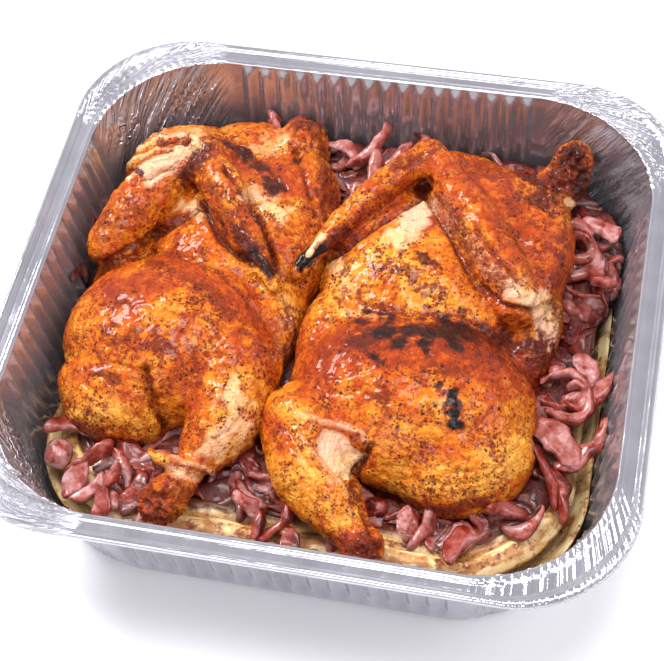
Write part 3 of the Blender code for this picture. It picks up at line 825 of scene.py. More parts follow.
    def build(self) -> bpy.types.Object:
        """Loft the rings into one foil shell."""
        ribs, corner = self.rib_shape(), self.corner_weight()
        points, runs, gathers, count = [], [], [], len(ribs)
        for inset, height, zone in self.profile():
            ring = self.outline(inset)
            ahead = np.roll(ring, -1, axis=0) - np.roll(ring, 1, axis=0)
            out = np.stack([ahead[:, 1], -ahead[:, 0]], axis=1) / np.linalg.norm(ahead, axis=1)[:, None]
            run = np.cumsum(np.linalg.norm(ahead, axis=1) / 2)
            push, lift = self.gathered(run, height, zone)
            inward = self.ribbed(inset, height, ribs) - inset if zone == "wall" else 0.0
            ring = ring + out * (push * corner - inward)[:, None]
            points.append(np.column_stack([ring, height + lift * corner]))
            runs.append(run)
            gathers.append(corner * (1.0 if zone == "wall" else self.flange_gathers))
        rows = len(points)
        vertices = np.concatenate(points + [np.zeros((1, 3))])
        vertices[:, 2] = np.maximum(vertices[:, 2], 0.0)
        faces = []
        for row in range(rows - 1):
            low, high = row * count, (row + 1) * count
            faces += [(low + i, low + (i + 1) % count, high + (i + 1) % count, high + i)
                      for i in range(count)]
        faces += [(rows * count, (i + 1) % count, i) for i in range(count)]
        tray = mesh_object("pressed_foil_tray", vertices, faces)
        write_attribute(tray.data, "run", np.append(np.concatenate(runs), 0.0))
        write_attribute(tray.data, "corner", np.append(np.concatenate(gathers), 0.0))
        shell = tray.modifiers.new("Foil", "SOLIDIFY")
        shell.thickness = self.foil * MM
        shell.offset = -1.0
        apply_modifiers(tray)
        tray.data.materials.clear()
        tray.data.materials.append(self.finish.build())
        return place_piece(tray, "foil", "foil_tray")


@dataclass
class Flatbread:
    """Two soft layers on the tray's floor, turned up along the wall and rolled over in front."""

    tray: FoilTray
    thick: float = 5.0
    clear: float = 0.5
    low_edge: float = 22.0
    high_edge: float = 34.5
    step_in: float = 6.5
    onion_height: float = 33.5
    onion_step: float = 22.0
    angles: int = 260
    samples: int = 64
    finish: BreadFinish = field(default_factory=BreadFinish)

    def shown(self, angle: float) -> float:
        """How much of the bread shows past the onions at an angle, from 0 to 1."""
        degrees = (math.degrees(angle) + 180.0) % 360.0 - 180.0
        values = np.interp(degrees, (-180, -166, -150, -128, -45, -20, -4, 14, 24),
                           (0.0, 0.15, 0.8, 1.0, 1.0, 0.65, 0.4, 0.35, 0.0))
        return float(values)

    def onion_edge(self, angle: float) -> float:
        """Distance from the middle at which the onions end and the bread's edge begins."""
        return self.tray.reach(angle, self.onion_height, 0.5) - self.onion_step * self.shown(angle)

    def section(self, angle: float, layer: int) -> tuple[np.ndarray, np.ndarray]:
        """Top line of a layer outward from the middle: distances and heights."""
        reach = self.tray.reach(angle, 27.0, self.clear + 0.4)
        floor = self.tray.foil + self.clear + self.thick + layer * (self.thick + 2 * self.clear)
        wave = 1.2 * math.sin(5 * angle + 0.6) + 0.8 * math.sin(9 * angle)
        shown = self.shown(angle)
        if layer:
            peak = self.low_edge + shown * (self.high_edge - self.low_edge) + wave
            stations = ((0.05 * reach, floor), (0.55 * reach, floor),
                        (reach - 37, floor + 0.12 * (peak - floor)), (reach - 30, peak - 4.0),
                        (reach - 25, peak + 0.4), (reach - 20.5, peak - 1.0),
                        (reach - 18.0, peak - 3.8), (reach - 15.5, peak - 0.8), (reach - 11, peak),
                        (reach - self.step_in - 1, peak - 4.2 - wave * 0.5))
        else:
            peak = 17.0 + 8.0 * shown + 0.6 * wave
            stations = ((0.05 * reach, floor), (0.72 * reach, floor),
                        (reach - 18, floor + 0.15 * (peak - floor)),
                        (reach - 8, floor + 0.6 * (peak - floor)), (reach - 1.8, peak))
        places, heights = zip(*stations)
        out = places[0] + (places[-1] - places[0]) * np.linspace(0.0, 1.0, self.samples) ** 0.55
        line = np.interp(out, places, heights)
        for _ in range(3):
            line[1:-1] = (line[:-2] + line[1:-1] * 2 + line[2:]) / 4
        return out, line

    def build_layer(self, name: str, layer: int, material: bpy.types.Material) -> bpy.types.Object:
        """Loft one layer: underside, round edge and folded top."""
        points, ridges, raised = [], [], []
        for index in range(self.angles):
            angle = 2 * math.pi * index / self.angles
            out, top = self.section(angle, layer)
            slope = np.gradient(top, out)
            lean = 1.0 / np.sqrt(1.0 + slope ** 2)
            low_out, low = out + slope * lean * self.thick * 0.7, top - lean * self.thick
            low = np.maximum(low, self.tray.foil + self.clear + layer * (self.thick + 2 * self.clear))
            middle = np.array([(out[-1] + low_out[-1]) / 2, (top[-1] + low[-1]) / 2])
            across = np.array([out[-1] - low_out[-1], top[-1] - low[-1]]) / 2
            along = np.array([lean[-1], slope[-1] * lean[-1]]) * self.thick * 0.42
            rim = [middle + across * math.sin(t) + along * math.cos(t)
                   for t in np.linspace(-0.5, 0.5, 7)[1:-1] * math.pi]
            section = [*zip(low_out, low), *rim, *zip(out[::-1], top[::-1])]
            points += [(d * math.cos(angle), d * math.sin(angle), z) for d, z in section]
            bent = np.clip(np.abs(np.gradient(slope, out)) * 6.0 - 0.4, 0.0, 1.0)
            ridges += [0.0] * self.samples + [0.7] * len(rim) + list(bent[::-1])
            lifted = smooth_step(top, top[0] + 1.0, top[0] + 7.0)
            raised += list(lifted * 0.4) + [0.8] * len(rim) + list(lifted[::-1])
        count = len(points) // self.angles
        points += [(0.0, 0.0, points[0][2]), (0.0, 0.0, points[count - 1][2])]
        faces = []
        for index in range(self.angles):
            here, there = index * count, ((index + 1) % self.angles) * count
            faces += [(here + k, there + k, there + k + 1, here + k + 1) for k in range(count - 1)]
            faces.append((self.angles * count, there, here))
            faces.append((self.angles * count + 1, here + count - 1, there + count - 1))
        spots, weight = np.array(points), np.array(raised + [0.0, 0.0])
        turn = np.arctan2(spots[:, 1], spots[:, 0])
        apart = np.hypot(spots[:, 0], spots[:, 1])
        folds = np.stack([np.cos(turn) * 3.4, np.sin(turn) * 3.4,
                          apart / 6.5 + 1.2 * np.sin(3 * turn)], axis=1)
        crease = np.array([noise.noise(Vector(place)) for place in folds])
        valley = np.maximum(0.0, 1.0 - 3.5 * np.abs(crease))
        spots[:, 2] += weight * (1.7 * crease - 1.3 * valley + 0.7 * field_noise(spots, 16.0, 3, layer * 5.0)
                                 + 0.28 * field_noise(spots, 5.0, 2, 9.0))
        edges = np.repeat([self.onion_edge(2 * math.pi * index / self.angles)
                           for index in range(self.angles)], count)
        beyond = apart - np.append(edges, [edges[0], edges[0]])
        bread = mesh_object(name, self.tray.keep_inside(spots, 0.2), faces)
        write_attribute(bread.data, "soak", 1.0 - smooth_step(beyond, -4.0, 4.5))
        ridge = np.array(ridges + [0.0, 0.0]) + valley * weight
        write_attribute(bread.data, "ridge", np.clip(ridge, 0.0, 1.0))
        bread.data.materials.append(material)
        return place_piece(bread, "flatbread", ("flatbread_lower", "flatbread_upper")[layer])

    def build(self) -> list[bpy.types.Object]:
        """Build both layers."""
        material = self.finish.build()
        return [self.build_layer(name, layer, material)
                for layer, name in enumerate(("lower_bread", "upper_bread"))]


@dataclass(frozen=True)
class Mark:
    """A patch, crease or tear of the skin, along pixels of the photograph.

    The width is in millimetres to each side, depth is how far it sinks, and crag how rough it is; brown along
    a sunk crease paints its shade.
    """

    path: tuple[Pixel, ...]
    width: float
    depth: float = 0.0
    brown: float = 0.0
    char: float = 0.0
    pale: float = 0.0
    amber: float = 0.0
    crag: float = 0.0
    ragged: float = 0.35
    sharp: float = 0.0

    def weight(self, spots: np.ndarray, scale: float, wander: np.ndarray) -> np.ndarray:
        """Share of the mark at each spot.

        Args:
            spots: Pixels of the vertices.
            scale: Pixels to a millimetre.
            wander: Noise that makes the edge uneven.

        Returns:
            Values from 0 to 1.
        """
        nearest = np.full(len(spots), 1e9)
        path = [np.array(p, float) for p in self.path]
        for start, end in zip(path, path[1:] or path):
            line = end - start
            length = max(float(line @ line), 1e-9)
            share = np.clip(((spots - start) @ line) / length, 0.0, 1.0)
            gap = np.linalg.norm(spots - start - share[:, None] * line, axis=1)
            nearest = np.minimum(nearest, gap)
        share = nearest / scale / self.width + self.ragged * wander
        return 1.0 - smooth_step(share, self.sharp, 1.0)


RIGHT_LOBES: dict[str, tuple[Point, Point, float]] = {
    "thigh": ((41, -35, 43), (56, 43, 32), -6),
    "thigh_end": ((66, -57, 41), (33, 28, 24), 20),
    "breast": ((38, 32, 40), (52, 54, 29), 4),
    "shoulder": ((62, 56, 43), (40, 44, 27), 12),
    "neck_end": ((42, 86, 38), (36, 24, 21), -8),
    "back_edge": ((86, 20, 36), (15, 38, 18), 0),
    "belly": ((4, -6, 37), (22, 34, 22), 0),
}
RIGHT_LIMBS: dict[str, Limb] = {
    "drumstick": (((-2, -57, 46), 21), ((5, -78, 47), 18.5), ((20, -96, 47), 12.5), ((29, -105, 47), 8.5),
                  ((33, -109, 47), 9.5)),
    "forearm": (((28, 90, 64), 8), ((51, 58, 70), 10), ((73, 24, 66), 12.5), ((79, 15, 62), 11)),
    "wing_tip": (((28, 90, 64), 8), ((11, 69, 65), 8), ((-5, 46, 62), 6.5), ((-15, 30, 58), 5.4),
                 ((-22, 17, 56), 3.2)),
    "upper_wing": (((80, 16, 57), 13), ((87, 40, 54), 15), ((82, 68, 51), 16)),
    "shoulder_knob": (((84, 88, 42), 13), ((92, 98, 47), 10.5), ((95, 105, 54), 9.5)),
}
LEFT_LOBES: dict[str, tuple[Point, Point, float]] = {
    "thigh": ((-74, -21, 43), (49, 43, 32), 8),
    "thigh_end": ((-89, -49, 40), (30, 26, 24), -10),
    "breast": ((-54, 38, 39), (44, 52, 28), -20),
    "chest": ((-40, 58, 38), (25, 42, 24), -14),
    "neck_end": ((-40, 98, 38), (15, 21, 19), -12),
    "back": ((-90, 76, 39), (32, 30, 24), 25),
    "back_middle": ((-62, 91, 36), (30, 25, 19), 0),
    "flank": ((-104, 12, 38), (16, 26, 15), 0),
    "belly": ((-36, 4, 37), (21, 36, 21), 0),
}
LEFT_LIMBS: dict[str, Limb] = {
    "drumstick": (((-39, -34, 47), 22), ((-37, -53, 47), 19.5), ((-41, -68, 46), 14.5),
                  ((-46, -80, 46), 8.5)),
    "shank": (((-46, -80, 46), 7.5), ((-51.5, -95, 46), 7.5), ((-55.5, -104, 46.5), 10)),
    "tendon": (((-54, -88, 52), 3.2), ((-60, -87, 54.5), 2.6), ((-64, -85, 55.5), 1.8)),
    "forearm": (((-112, 21, 54), 12), ((-104, 38, 60), 14), ((-92, 60, 64), 13), ((-80, 72, 66), 9)),
    "wing_tip": (((-79, 70, 69), 10), ((-61, 47.5, 70), 10), ((-43.5, 23, 66.5), 7), ((-35, 11.5, 62.5), 4.6),
                 ((-29.5, 5, 60), 2.8)),
}
# Marks that sink in and carry brown paint the shade of their creases, as under each wing's edge; wide ragged
# ones are real browning.
RIGHT_MARKS = (
    Mark(((320, 362), (400, 342), (480, 348), (535, 368)), 22, amber=0.45, ragged=0.5),
    Mark(((400, 486), (460, 492), (512, 450)), 20, amber=-0.4, ragged=0.3),
    Mark(((330, 290), (395, 250), (440, 300)), 22, amber=-0.3, ragged=0.4),
    Mark(((470, 175), (535, 225), (562, 285)), 20, amber=0.3, ragged=0.4),
    Mark(((295, 420), (300, 470), (335, 520)), 17, amber=-0.35, ragged=0.4),
    Mark(((275, 420), (283, 440)), 9, amber=0.35, ragged=0.4),
    Mark(((555, 300), (538, 352)), 9, amber=-0.4, ragged=0.3),
    Mark(((345, 240), (400, 195), (440, 160)), 12, amber=0.25, ragged=0.4),
    Mark(((365, 336), (430, 330), (500, 340), (548, 354)), 12, brown=1.0, ragged=0.8),
    Mark(((382, 331), (420, 337), (464, 332)), 11, char=0.62, ragged=1.2),
    Mark(((452, 396), (458, 410), (453, 424)), 5.5, char=0.85, brown=1.0, ragged=1.0),
    Mark(((433, 388), (440, 384)), 2.4, char=0.6, brown=0.6, ragged=1.0),
    Mark(((374, 392), (384, 400)), 6, brown=0.45, ragged=0.8),
    Mark(((434, 366), (470, 372)), 6, brown=0.35, ragged=0.7),
    Mark(((332, 446), (346, 462)), 8.5, pale=1.0, depth=1.8, amber=-0.3, ragged=0.2, sharp=0.78),
    Mark(((296, 414), (326, 422), (362, 432), (367, 447)), 2.4, depth=-1.5, pale=0.35, ragged=0.15),
    Mark(((300, 436), (318, 456), (342, 484), (352, 500)), 1.8, depth=-1.1, pale=0.25, ragged=0.15),
    Mark(((368, 447), (355, 482), (362, 500), (377, 542), (388, 562)), 3.0, depth=4.2, brown=0.6, ragged=0.1),
    Mark(((346, 474), (354, 502)), 2.6, depth=2.4, brown=0.3, ragged=0.2),
    Mark(((270, 432), (292, 470), (318, 500)), 1.6, depth=0.8, ragged=0.3),
    Mark(((284, 426), (306, 462), (336, 500), (350, 535)), 1.4, depth=0.7, ragged=0.3),
    Mark(((350, 545), (376, 558)), 12, brown=0.45, amber=0.5, crag=1.4, ragged=0.35, sharp=0.4),
    Mark(((405, 225), (424, 206), (398, 238)), 9, pale=0.7, ragged=0.6),
    Mark(((335, 262), (345, 285)), 8, pale=0.25, ragged=0.6),
    Mark(((424, 191), (450, 233), (476, 285), (500, 306), (538, 312)), 2.8, depth=3.8, brown=0.5, ragged=0.1),
    Mark(((304, 270), (340, 251), (382, 221), (420, 198)), 2.6, depth=4.5, brown=0.75, ragged=0.1),
    Mark(((304, 264), (318, 252)), 7, char=0.95, brown=1.0, ragged=0.25, sharp=0.4),
    Mark(((322, 236), (309, 254)), 2.2, pale=1.0, char=-1.0, brown=-1.0, depth=-0.7, ragged=0.1, sharp=0.6),
    Mark(((322, 248), (346, 234)), 6, brown=0.8, char=0.3, ragged=0.5),
    Mark(((360, 222), (400, 190)), 5, brown=0.4, ragged=0.7),
    Mark(((419, 191), (428, 182)), 5, brown=0.8, depth=1.5, ragged=0.4),
    Mark(((440, 205), (470, 245), (500, 285)), 9, pale=0.2, brown=0.35, crag=0.4, ragged=0.5),
    Mark(((515, 290), (536, 300)), 9, pale=0.7, crag=0.8, ragged=0.4),
    Mark(((476, 230), (500, 260), (518, 280)), 2.4, depth=2.0, brown=0.5, ragged=0.3),
    Mark(((455, 140), (509, 160), (542, 190)), 5.0, brown=0.85, char=0.3, crag=0.7, ragged=0.5),
    Mark(((395, 168), (440, 147)), 5, brown=0.45, crag=0.3, ragged=0.6),
    Mark(((480, 160), (520, 200), (545, 250)), 12, brown=0.3, ragged=1.2),
    Mark(((556, 240), (566, 280), (556, 320)), 5, brown=0.4, ragged=1.0),
    Mark(((545, 195), (566, 170), (574, 152)), 12, brown=0.7, crag=2.6, depth=0.6, ragged=0.4, sharp=0.4),
    Mark(((560, 160), (572, 150)), 4, char=0.5, brown=0.9, depth=2.2, ragged=0.6),
    Mark(((560, 146), (576, 150), (582, 172), (578, 196)), 6, char=0.45, brown=1.0, crag=1.2, ragged=0.5),
    Mark(((548, 172), (558, 186)), 3, char=0.3, brown=0.9, depth=2.6, ragged=0.5),
    Mark(((568, 202), (578, 208)), 3.5, pale=0.9, crag=0.6),
    Mark(((540, 200), (556, 214)), 3.0, depth=2.5, brown=0.6, ragged=0.2),
    Mark(((545, 312), (548, 345)), 7, pale=0.7, crag=0.8, depth=1.2, ragged=0.35, sharp=0.3),
    Mark(((563, 290), (552, 330), (545, 355)), 1.6, depth=-1.2, amber=0.2, ragged=0.2),
    Mark(((536, 330), (540, 352)), 1.6, depth=1.2, ragged=0.2),
    Mark(((445, 474), (500, 468), (522, 440)), 1.5, depth=1.0, ragged=0.3),
    Mark(((400, 478), (450, 486), (500, 478)), 1.4, depth=0.8, ragged=0.4),
    Mark(((385, 466), (420, 470), (460, 462)), 1.4, depth=0.7, ragged=0.4),
    Mark(((385, 498), (440, 511), (485, 502)), 5, brown=0.5, amber=0.3, ragged=0.4),
    Mark(((340, 300), (400, 312), (450, 318)), 5, brown=0.45, ragged=1.2),
    Mark(((350, 262), (400, 270), (440, 290)), 5, brown=0.45, ragged=1.4),
    Mark(((414, 250), (428, 262)), 3.0, char=0.5, brown=0.5, ragged=1.2),
    Mark(((436, 262), (450, 276)), 3.0, char=0.4, brown=0.5, ragged=1.2),
    Mark(((344, 312), (374, 316)), 3.5, depth=-0.8, pale=0.3, amber=-0.2, ragged=0.3),
)
# Marks that sink in and carry brown paint the shade of their creases, as under each wing's edge; wide ragged
# ones are real browning.
LEFT_MARKS = (
    Mark(((110, 290), (170, 268), (240, 300), (262, 340)), 15, amber=0.28, ragged=0.6),
    Mark(((90, 410), (150, 428)), 14, amber=-0.3, ragged=0.3),
    Mark(((235, 390), (225, 440)), 18, amber=-0.45, ragged=0.3),
    Mark(((260, 270), (290, 320)), 12, amber=-0.25, ragged=0.4),
    Mark(((250, 165), (315, 190)), 14, amber=0.3, ragged=0.5),
    Mark(((185, 235), (240, 262)), 9, amber=0.1, ragged=0.5),
    Mark(((115, 335), (165, 345), (190, 350)), 8, brown=0.5, ragged=1.1),
    Mark(((150, 262), (200, 285), (250, 330)), 4, brown=0.35, ragged=0.8),
    Mark(((104, 374), (118, 382)), 5, brown=0.55, ragged=0.8),
    Mark(((144, 370), (149, 387), (155, 407), (166, 426), (170, 448)), 3.4, depth=4.0, brown=0.3,
         ragged=0.12),
    Mark(((108, 363), (129, 367), (147, 372)), 1.8, depth=1.3, ragged=0.3),
    Mark(((112, 383), (144, 391)), 1.6, depth=1.0, ragged=0.3),
    Mark(((80, 425), (105, 442), (150, 447)), 5, brown=0.5, amber=0.3, ragged=0.5),
    Mark(((230, 395), (240, 425), (215, 450)), 12, pale=0.35, ragged=0.6),
    Mark(((190, 452), (230, 430), (262, 392)), 1.4, depth=0.7, ragged=0.4),
    Mark(((171, 455), (184, 463), (206, 468), (214, 474)), 2.6, depth=-1.8, pale=0.3, ragged=0.2),
    Mark(((168, 468), (188, 474), (208, 482)), 4.5, depth=2.4, pale=0.45, ragged=0.2),
    Mark(((138, 480), (150, 510), (170, 512), (176, 490)), 10.5, brown=0.3, amber=0.05, crag=3.0, ragged=0.3,
         sharp=0.5),
    Mark(((150, 490), (165, 496)), 3, depth=2.0, brown=0.8, ragged=0.5),
    Mark(((150, 453), (164, 461)), 3.6, amber=-0.6, brown=-0.8, crag=0.5, ragged=0.3),
    Mark(((95, 235), (130, 205)), 10, amber=-0.1, brown=0.3, ragged=0.7),
    Mark(((112, 216), (126, 224)), 4.5, char=0.4, brown=0.4, ragged=1.0),
    Mark(((83, 264), (120, 256), (150, 236), (190, 210)), 4.0, brown=0.55, ragged=0.5),
    Mark(((86, 272), (110, 262), (146, 241), (180, 219), (204, 203)), 2.8, depth=4.5, brown=0.55, ragged=0.1),
    Mark(((150, 172), (175, 158), (196, 146)), 9, pale=0.85, depth=1.2, crag=0.7, ragged=0.4),
    Mark(((144, 138), (165, 134), (192, 132)), 4, pale=0.3, crag=1.8, ragged=0.5),
    Mark(((160, 143), (188, 140)), 1.8, depth=2.8, brown=0.9, ragged=0.3),
    Mark(((118, 178), (136, 158), (158, 148)), 1.3, depth=-1.7, pale=0.6, amber=-0.3, ragged=0.35),
    Mark(((128, 180), (150, 162), (176, 154), (196, 142)), 1.2, depth=-1.5, pale=0.55, amber=-0.3,
         ragged=0.35),
    Mark(((138, 150), (160, 138), (184, 135)), 1.2, depth=-1.4, pale=0.6, amber=-0.4, ragged=0.35),
    Mark(((150, 176), (172, 166), (190, 152)), 1.2, depth=1.8, brown=0.5, ragged=0.35),
    Mark(((124, 176), (146, 156), (172, 147)), 1.6, depth=2.2, brown=0.5, ragged=0.3),
    Mark(((132, 184), (156, 170), (178, 168)), 1.6, depth=1.8, brown=0.4, ragged=0.3),
    Mark(((136, 170), (140, 173)), 2.4, char=0.4, brown=0.9, ragged=0.4),
    Mark(((186, 172), (196, 158), (206, 150)), 9, brown=0.85, char=0.25, crag=0.9, ragged=0.5),
    Mark(((232, 143), (256, 165), (272, 190)), 5, brown=0.85, char=0.5, crag=0.5, ragged=0.7),
    Mark(((243, 150), (271, 171), (286, 190)), 2.0, depth=1.5, char=0.5, brown=0.9, ragged=0.5),
    Mark(((200, 199), (218, 236), (232, 251), (254, 268)), 2.4, depth=4.5, brown=0.8, ragged=0.1),
    Mark(((226, 168), (249, 199), (265, 230), (277, 264)), 2.4, depth=4.5, brown=0.8, ragged=0.1),
    Mark(((206, 180), (224, 212), (244, 244)), 9, brown=0.45, crag=0.5, ragged=0.8),
    Mark(((236, 232), (254, 254)), 7, brown=0.9, ragged=0.6),
    Mark(((252, 252), (272, 272)), 5.5, char=0.62, brown=1.0, ragged=0.5),
    Mark(((215, 185), (232, 215)), 5, amber=-0.1, ragged=0.5),
    Mark(((252, 194), (284, 214)), 7, pale=0.5, crag=0.3, ragged=1.0),
    Mark(((184, 206), (204, 210)), 5, pale=0.6, ragged=0.6),
    Mark(((296, 160), (302, 166)), 3.5, char=0.6, brown=0.6, ragged=1.0),
    Mark(((280, 230), (300, 260)), 7, brown=0.3, ragged=1.1),
    Mark(((285, 300), (296, 330), (280, 350)), 7, pale=0.2, brown=0.3, ragged=0.9),
    Mark(((73, 291), (101, 271), (129, 258), (158, 251), (188, 258), (221, 273), (243, 293), (267, 321)), 2.0,
         depth=2.0, brown=0.4, ragged=0.2),
    Mark(((316, 130), (326, 170), (322, 210)), 7, brown=0.45, crag=1.2, ragged=0.5),
    Mark(((300, 122), (325, 124)), 7, brown=0.7, crag=1.6, ragged=0.4),
    Mark(((296, 150), (310, 190), (318, 215)), 2.4, depth=2.4, brown=0.4, ragged=0.2),
    Mark(((255, 150), (285, 140)), 8, pale=0.25, ragged=0.7),
)


@dataclass
class ChickenHalf:
    """One half chicken: lobes and limbs under one skin, creased, browned and cut flat beneath."""

    name: str
    node: str
    lobes: dict[str, tuple[Point, Point, float]]
    limbs: dict[str, Limb]
    marks: tuple[Mark, ...]
    side: int
    view: PhotoView
    voxel: float = 1.1
    smoothing: int = 5
    underside: float = 34.2
    parting_point: Pixel = (-15.2, 0.0)
    parting_lean: float = 7.1
    parting_gap: float = 0.3
    tip_overhang: float = 14.0
    tip_heights: Pixel = (48.0, 52.0)
    seed_shift: float = 0.0

    def rough_form(self) -> bpy.types.Object:
        """Join the lobes and limbs into one smooth skin."""
        bm = bmesh.new()
        for centre, radii, turn in self.lobes.values():
            place = Matrix.Translation(centre) @ Matrix.Rotation(math.radians(turn), 4, "Z")
            stretched = place @ Matrix.Diagonal((*radii, 1.0))
            bmesh.ops.create_icosphere(bm, subdivisions=5, radius=1.0, matrix=stretched)
        for joints in self.limbs.values():
            for (start, start_radius), (end, end_radius) in zip(joints, joints[1:]):
                length = (Vector(end) - Vector(start)).length
                steps = max(2, int(length / (0.2 * min(start_radius, end_radius))))
                for step in range(steps + 1):
                    share = step / steps
                    radius = start_radius + share * (end_radius - start_radius)
                    place = Matrix.Translation(Vector(start).lerp(Vector(end), share))
                    bmesh.ops.create_icosphere(bm, subdivisions=3, radius=radius, matrix=place)
        bmesh.ops.transform(bm, matrix=Matrix.Scale(MM, 4), verts=bm.verts)
        mesh = bpy.data.meshes.new(self.name)
        bm.to_mesh(mesh)
        bm.free()
        form = bpy.data.objects.new(self.name, mesh)
        bpy.context.scene.collection.objects.link(form)
        skin = form.modifiers.new("Skin", "REMESH")
        skin.mode = "VOXEL"
        skin.voxel_size = self.voxel * MM
        soft = form.modifiers.new("Soft", "SMOOTH")
        soft.iterations = self.smoothing
        apply_modifiers(form)
        return form

    def cut_flat(self, form: bpy.types.Object, point: Vector, normal: Vector) -> None:
        """Cut away what lies beyond a plane and close the cut."""
        bm = bmesh.new()
        bm.from_mesh(form.data)
        geometry = bm.verts[:] + bm.edges[:] + bm.faces[:]
        cut = bmesh.ops.bisect_plane(bm, geom=geometry, dist=1e-7, plane_co=point * MM, plane_no=normal,
                                     clear_outer=True)
        edges = [item for item in cut["geom_cut"] if isinstance(item, bmesh.types.BMEdge)]
        bmesh.ops.holes_fill(bm, edges=edges)
        bm.to_mesh(form.data)
        bm.free()

    def press_parting(self, form: bpy.types.Object) -> None:
        """Press the side that meets the other half flat, but let a raised wing tip lie over it."""
        lean = math.radians(self.parting_lean)
        outward = np.array([-self.side * math.cos(lean), self.side * math.sin(lean), 0.0])
        points = read_points(form.data)
        beyond = (points - (*self.parting_point, 0.0)) @ outward + self.parting_gap
        free = self.tip_overhang * smooth_step(points[:, 2], *self.tip_heights)
        points -= outward * np.maximum(beyond - free, 0.0)[:, None]
        write_points(form.data, points)

    def sculpt(self, form: bpy.types.Object) -> None:
        """Press the creases in, raise the crags and store where the skin is browned or pale, and where shade
        is painted into the creases.
        """
        mesh = form.data
        points, normals = read_points(mesh), read_normals(mesh)
        scale, spots = self.view.scale(), self.view.pixels(points)
        eye = self.view.axes()[0]
        sight = eye - points
        sight /= np.linalg.norm(sight, axis=1)[:, None]
        seen = smooth_step(np.einsum("ij,ij->i", normals, sight), -0.15, 0.25)
        wander = field_noise(points, 6.0, 3, 3.0 + self.seed_shift)
        crag = 1.2 * field_noise(points, 3.0, 3, 11.0) + 1.1 * np.abs(field_noise(points, 6.0, 2, 17.0)) - 0.3
        tones = {name: np.zeros(len(points)) for name in ("brown", "char", "pale", "amber")}
        push = 0.9 * field_noise(points, 21.0, 3, self.seed_shift)
        wrinkle = field_noise(points, 8.5, 3, 5.0 + self.seed_shift)
        push += 0.45 * wrinkle - 0.55 * np.maximum(0.0, 1.0 - 4.0 * np.abs(wrinkle))
        push += 0.3 * field_noise(points, 3.2, 2, 9.0) + 0.25 * field_noise(points, 5.2, 2, 13.0)
        for mark in self.marks:
            weight = mark.weight(spots, scale, wander) * seen
            push += weight * (mark.crag * crag - mark.depth)
            for name, tone in tones.items():
                strength = getattr(mark, name)
                if name == "amber":
                    tone += strength * weight
                elif strength > 0.0:
                    tones[name] = np.maximum(tone, strength * weight)
                elif strength < 0.0:
                    tones[name] = tone * (1.0 + strength * weight)
        edge_share = smooth_step(points[:, 2], self.underside + 10.0, self.underside)
        push *= 1.0 - smooth_step(points[:, 2], self.underside + 2.0, self.underside)
        tones["brown"] = np.maximum(tones["brown"], 0.35 * edge_share * (0.6 + wander))
        moved = points + normals * push[:, None]
        moved[:, 2] = np.maximum(moved[:, 2], self.underside)
        write_points(mesh, moved)
        for name, tone in tones.items():
            write_attribute(mesh, name, tone)

    def build(self, material: bpy.types.Material) -> bpy.types.Object:
        """Build the half and give it its skin."""
        form = self.rough_form()
        self.press_parting(form)
        self.cut_flat(form, Vector((0.0, 0.0, self.underside)), Vector((0.0, 0.0, -1.0)))
        self.sculpt(form)
        form.data.shade_smooth()
        form.data.materials.clear()
        form.data.materials.append(material)
        return place_piece(form, "roast_skin", self.node)


class OnionKind(Enum):
    """Shapes that cut onions fall into when cooked."""

    STRIP = 0
    LONG_STRIP = 1
    RING = 2
    PETAL = 3
    HEART = 4
    SHRED = 5


@dataclass(frozen=True)
class OnionSpot:
    """A piece of onion placed where the photograph shows it."""

    pixel: Pixel
    height: float
    kind: OnionKind
    size: float = 1.0
    turn: float = 0.0
    tilt: float = 0.0
    tint: float = 0.4


